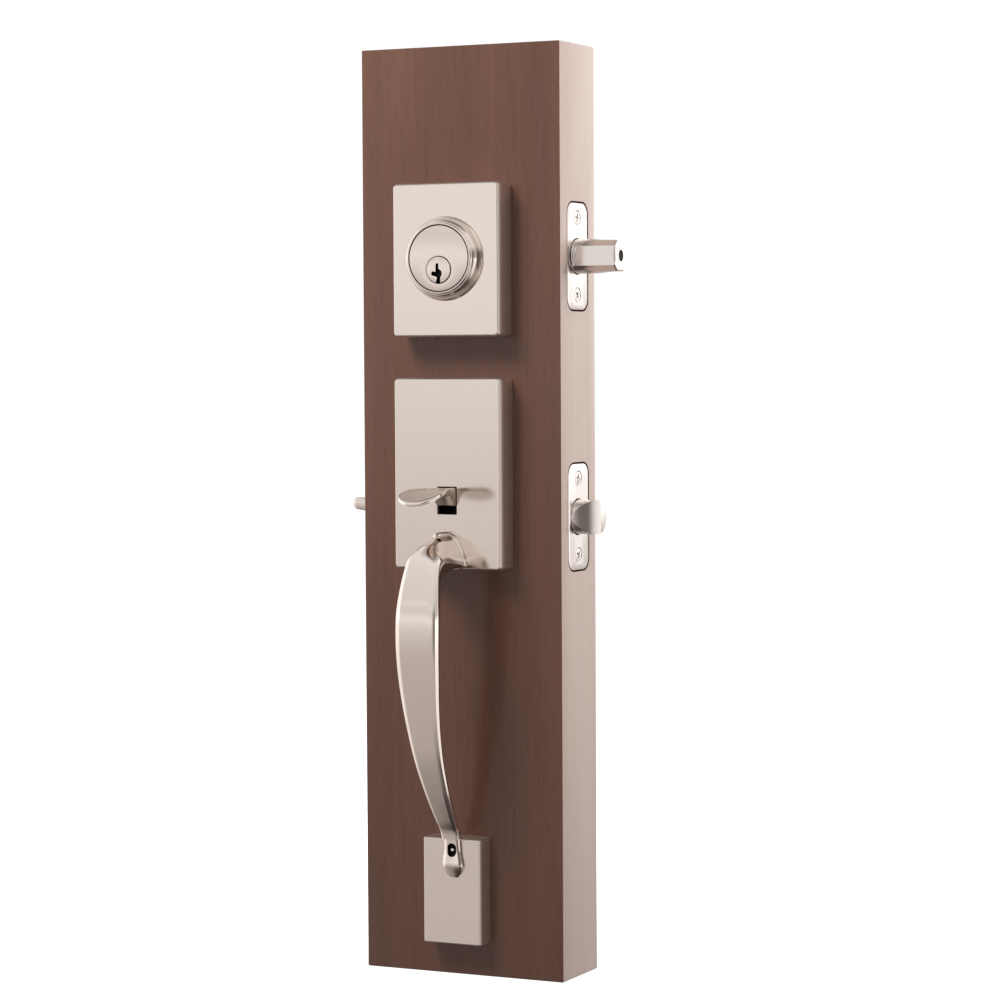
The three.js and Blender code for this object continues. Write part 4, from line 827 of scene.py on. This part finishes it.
def studio_world():
    """Pale surroundings with a bright horizon, and the lighter and darker patches the metal mirrors."""
    world = bpy.data.worlds.new("studio")
    scene.world = world
    world.use_nodes = True
    nodes, links = world.node_tree.nodes, world.node_tree.links
    nodes.clear()

    def math_node(kind, a, b=None, clamp=False):
        node = nodes.new("ShaderNodeMath")
        node.operation, node.use_clamp = kind, clamp
        for i, value in enumerate((a, b)):
            if isinstance(value, bpy.types.NodeSocket):
                links.new(value, node.inputs[i])
            elif value is not None:
                node.inputs[i].default_value = value
        return node.outputs[0]

    def towards(direction, low, high):
        """0 to 1 as the ray turns towards a direction."""
        dot = nodes.new("ShaderNodeVectorMath")
        dot.operation = "DOT_PRODUCT"
        links.new(coordinates.outputs["Generated"], dot.inputs[0])
        dot.inputs[1].default_value = Vector(direction).normalized()
        return smooth(dot.outputs["Value"], low, high)

    def smooth(value, low, high):
        node = nodes.new("ShaderNodeMapRange")
        node.interpolation_type = "SMOOTHSTEP"
        node.inputs["From Min"].default_value = low
        node.inputs["From Max"].default_value = high
        links.new(value, node.inputs["Value"])
        return node.outputs["Result"]

    coordinates = nodes.new("ShaderNodeTexCoord")
    split = nodes.new("ShaderNodeSeparateXYZ")
    links.new(coordinates.outputs["Generated"], split.inputs[0])
    height = split.outputs["Z"]
    share = math_node("MULTIPLY_ADD", height, 0.5)
    share.node.inputs[2].default_value = 0.5
    base = ramp(nodes, links, share, (
        (0.00, (0.045, 0.038, 0.034)), (0.052, (0.06, 0.05, 0.045)), (0.078, (0.32, 0.29, 0.27)),
        (0.20, (0.52, 0.48, 0.455)), (0.40, (0.60, 0.555, 0.53)), (0.475, (0.72, 0.69, 0.67)),
        (0.512, (0.98, 0.96, 0.945)), (0.535, (0.98, 0.96, 0.945)), (0.570, (0.78, 0.76, 0.745)),
        (0.612, (0.79, 0.77, 0.755)), (0.625, (1.05, 1.03, 1.01)), (0.638, (0.80, 0.78, 0.765)),
        (0.80, (0.86, 0.85, 0.84)), (0.90, (0.95, 0.94, 0.93)), (0.96, (0.42, 0.40, 0.385)),
        (1.00, (0.20, 0.185, 0.175))))
    # On the lock side the room is dark well below the horizon and shaded just above it.
    dark = math_node("MULTIPLY", towards((1, -0.25, 0), 0.20, 0.55), smooth(height, -0.50, -0.85))
    base = mix_colour(nodes, links, "MIX", dark, base, (0.07, 0.06, 0.055))
    shade = math_node("MULTIPLY", towards((1, 0.1, 0.1), 0.6, 0.92), smooth(height, 0.0, 0.03))
    shade = math_node("MULTIPLY", shade, smooth(height, 0.45, 0.20))
    base = mix_colour(nodes, links, "MIX", shade, base, (0.30, 0.27, 0.25))
    # The photographer's side is dark.
    dim = math_node("MULTIPLY", towards((0.743, -0.669, 0.0), 0.915, 0.975), smooth(height, 0.45, 0.15))
    base = mix_colour(nodes, links, "MIX", dim, base, (0.15, 0.132, 0.12))
    # Brighter on the far left, on the lock side below the horizon, and behind the lock edge.
    left = math_node("MULTIPLY", towards((-1, 0.05, 0.0), 0.70, 0.95), 0.5)
    right = math_node("MULTIPLY", towards((1, 0.35, -0.25), 0.76, 0.95), smooth(height, 0.03, -0.01))
    right = math_node("MULTIPLY", right, 0.55)
    left = math_node("ADD", left, right)
    back = math_node("MULTIPLY", towards((0.438, 0.898, 0.05), 0.45, 0.93), smooth(height, -0.24, 0.10))
    back = math_node("MULTIPLY_ADD", back, 0.65)
    links.new(left, back.node.inputs[2])
    glow = nodes.new("ShaderNodeVectorMath")
    glow.operation = "SCALE"
    glow.inputs[0].default_value = (1.0, 0.985, 0.97)
    links.new(back, glow.inputs["Scale"])
    surroundings = mix_colour(nodes, links, "ADD", 1.0, base, glow.outputs[0])

    rays = nodes.new("ShaderNodeLightPath")
    lit = nodes.new("ShaderNodeBackground")
    links.new(surroundings, lit.inputs["Color"])
    # Light on matt surfaces comes mostly from the lamps.
    strength = math_node("MULTIPLY_ADD", rays.outputs["Is Diffuse Ray"], -0.72)
    strength.node.inputs[2].default_value = 1.0
    links.new(strength, lit.inputs["Strength"])
    white = nodes.new("ShaderNodeBackground")
    white.inputs["Color"].default_value = (1, 1, 1, 1)
    white.inputs["Strength"].default_value = 1.05
    pick = nodes.new("ShaderNodeMixShader")
    links.new(rays.outputs["Is Camera Ray"], pick.inputs["Fac"])
    links.new(lit.outputs[0], pick.inputs[1])
    links.new(white.outputs[0], pick.inputs[2])
    output = nodes.new("ShaderNodeOutputWorld")
    links.new(pick.outputs[0], output.inputs["Surface"])


studio_world()


def lamp(name, at, target, size, power, colour=(1, 1, 1), glossy=False):
    data = bpy.data.lights.new(name, "AREA")
    data.shape, data.size, data.size_y = "RECTANGLE", size[0] * MM, size[1] * MM
    data.energy, data.color = power, colour
    made = bpy.data.objects.new(name, data)
    made.location = Vector(at) * MM
    made.rotation_euler = (Vector(target) * MM - made.location).to_track_quat("-Z", "Y").to_euler()
    made.visible_glossy = glossy
    made.visible_camera = False
    scene.collection.objects.link(made)


lamp("key", (-350, -800, 1150), (0, 0, 380), (500, 400), 11.5, (1.0, 0.985, 0.97))
lamp("rim", (900, 300, 800), (60, 0, 300), (500, 700), 10.0)
lamp("back", (-200, 900, 900), (0, 0, 300), (700, 500), 6.0)

# A plain pale floor.
floor_size = 6000.0
floor_mesh = bpy.data.meshes.new("floor")
floor_mesh.from_pydata([(x * MM, y * MM, -0.2 * MM) for x, y in (
    (-floor_size, -floor_size), (floor_size, -floor_size), (floor_size, floor_size),
    (-floor_size, floor_size))], [], [(0, 1, 2, 3)])
floor = bpy.data.objects.new("floor", floor_mesh)
scene.collection.objects.link(floor)
floor_material, _, _, shader = new_material("floor")
shader.inputs["Base Color"].default_value = (0.85, 0.85, 0.85, 1)
shader.inputs["Roughness"].default_value = 0.9
shader.inputs["Emission Color"].default_value = (1, 1, 1, 1)
shader.inputs["Emission Strength"].default_value = 0.85
floor_mesh.materials.append(floor_material)
floor.visible_glossy = False
floor.visible_diffuse = False
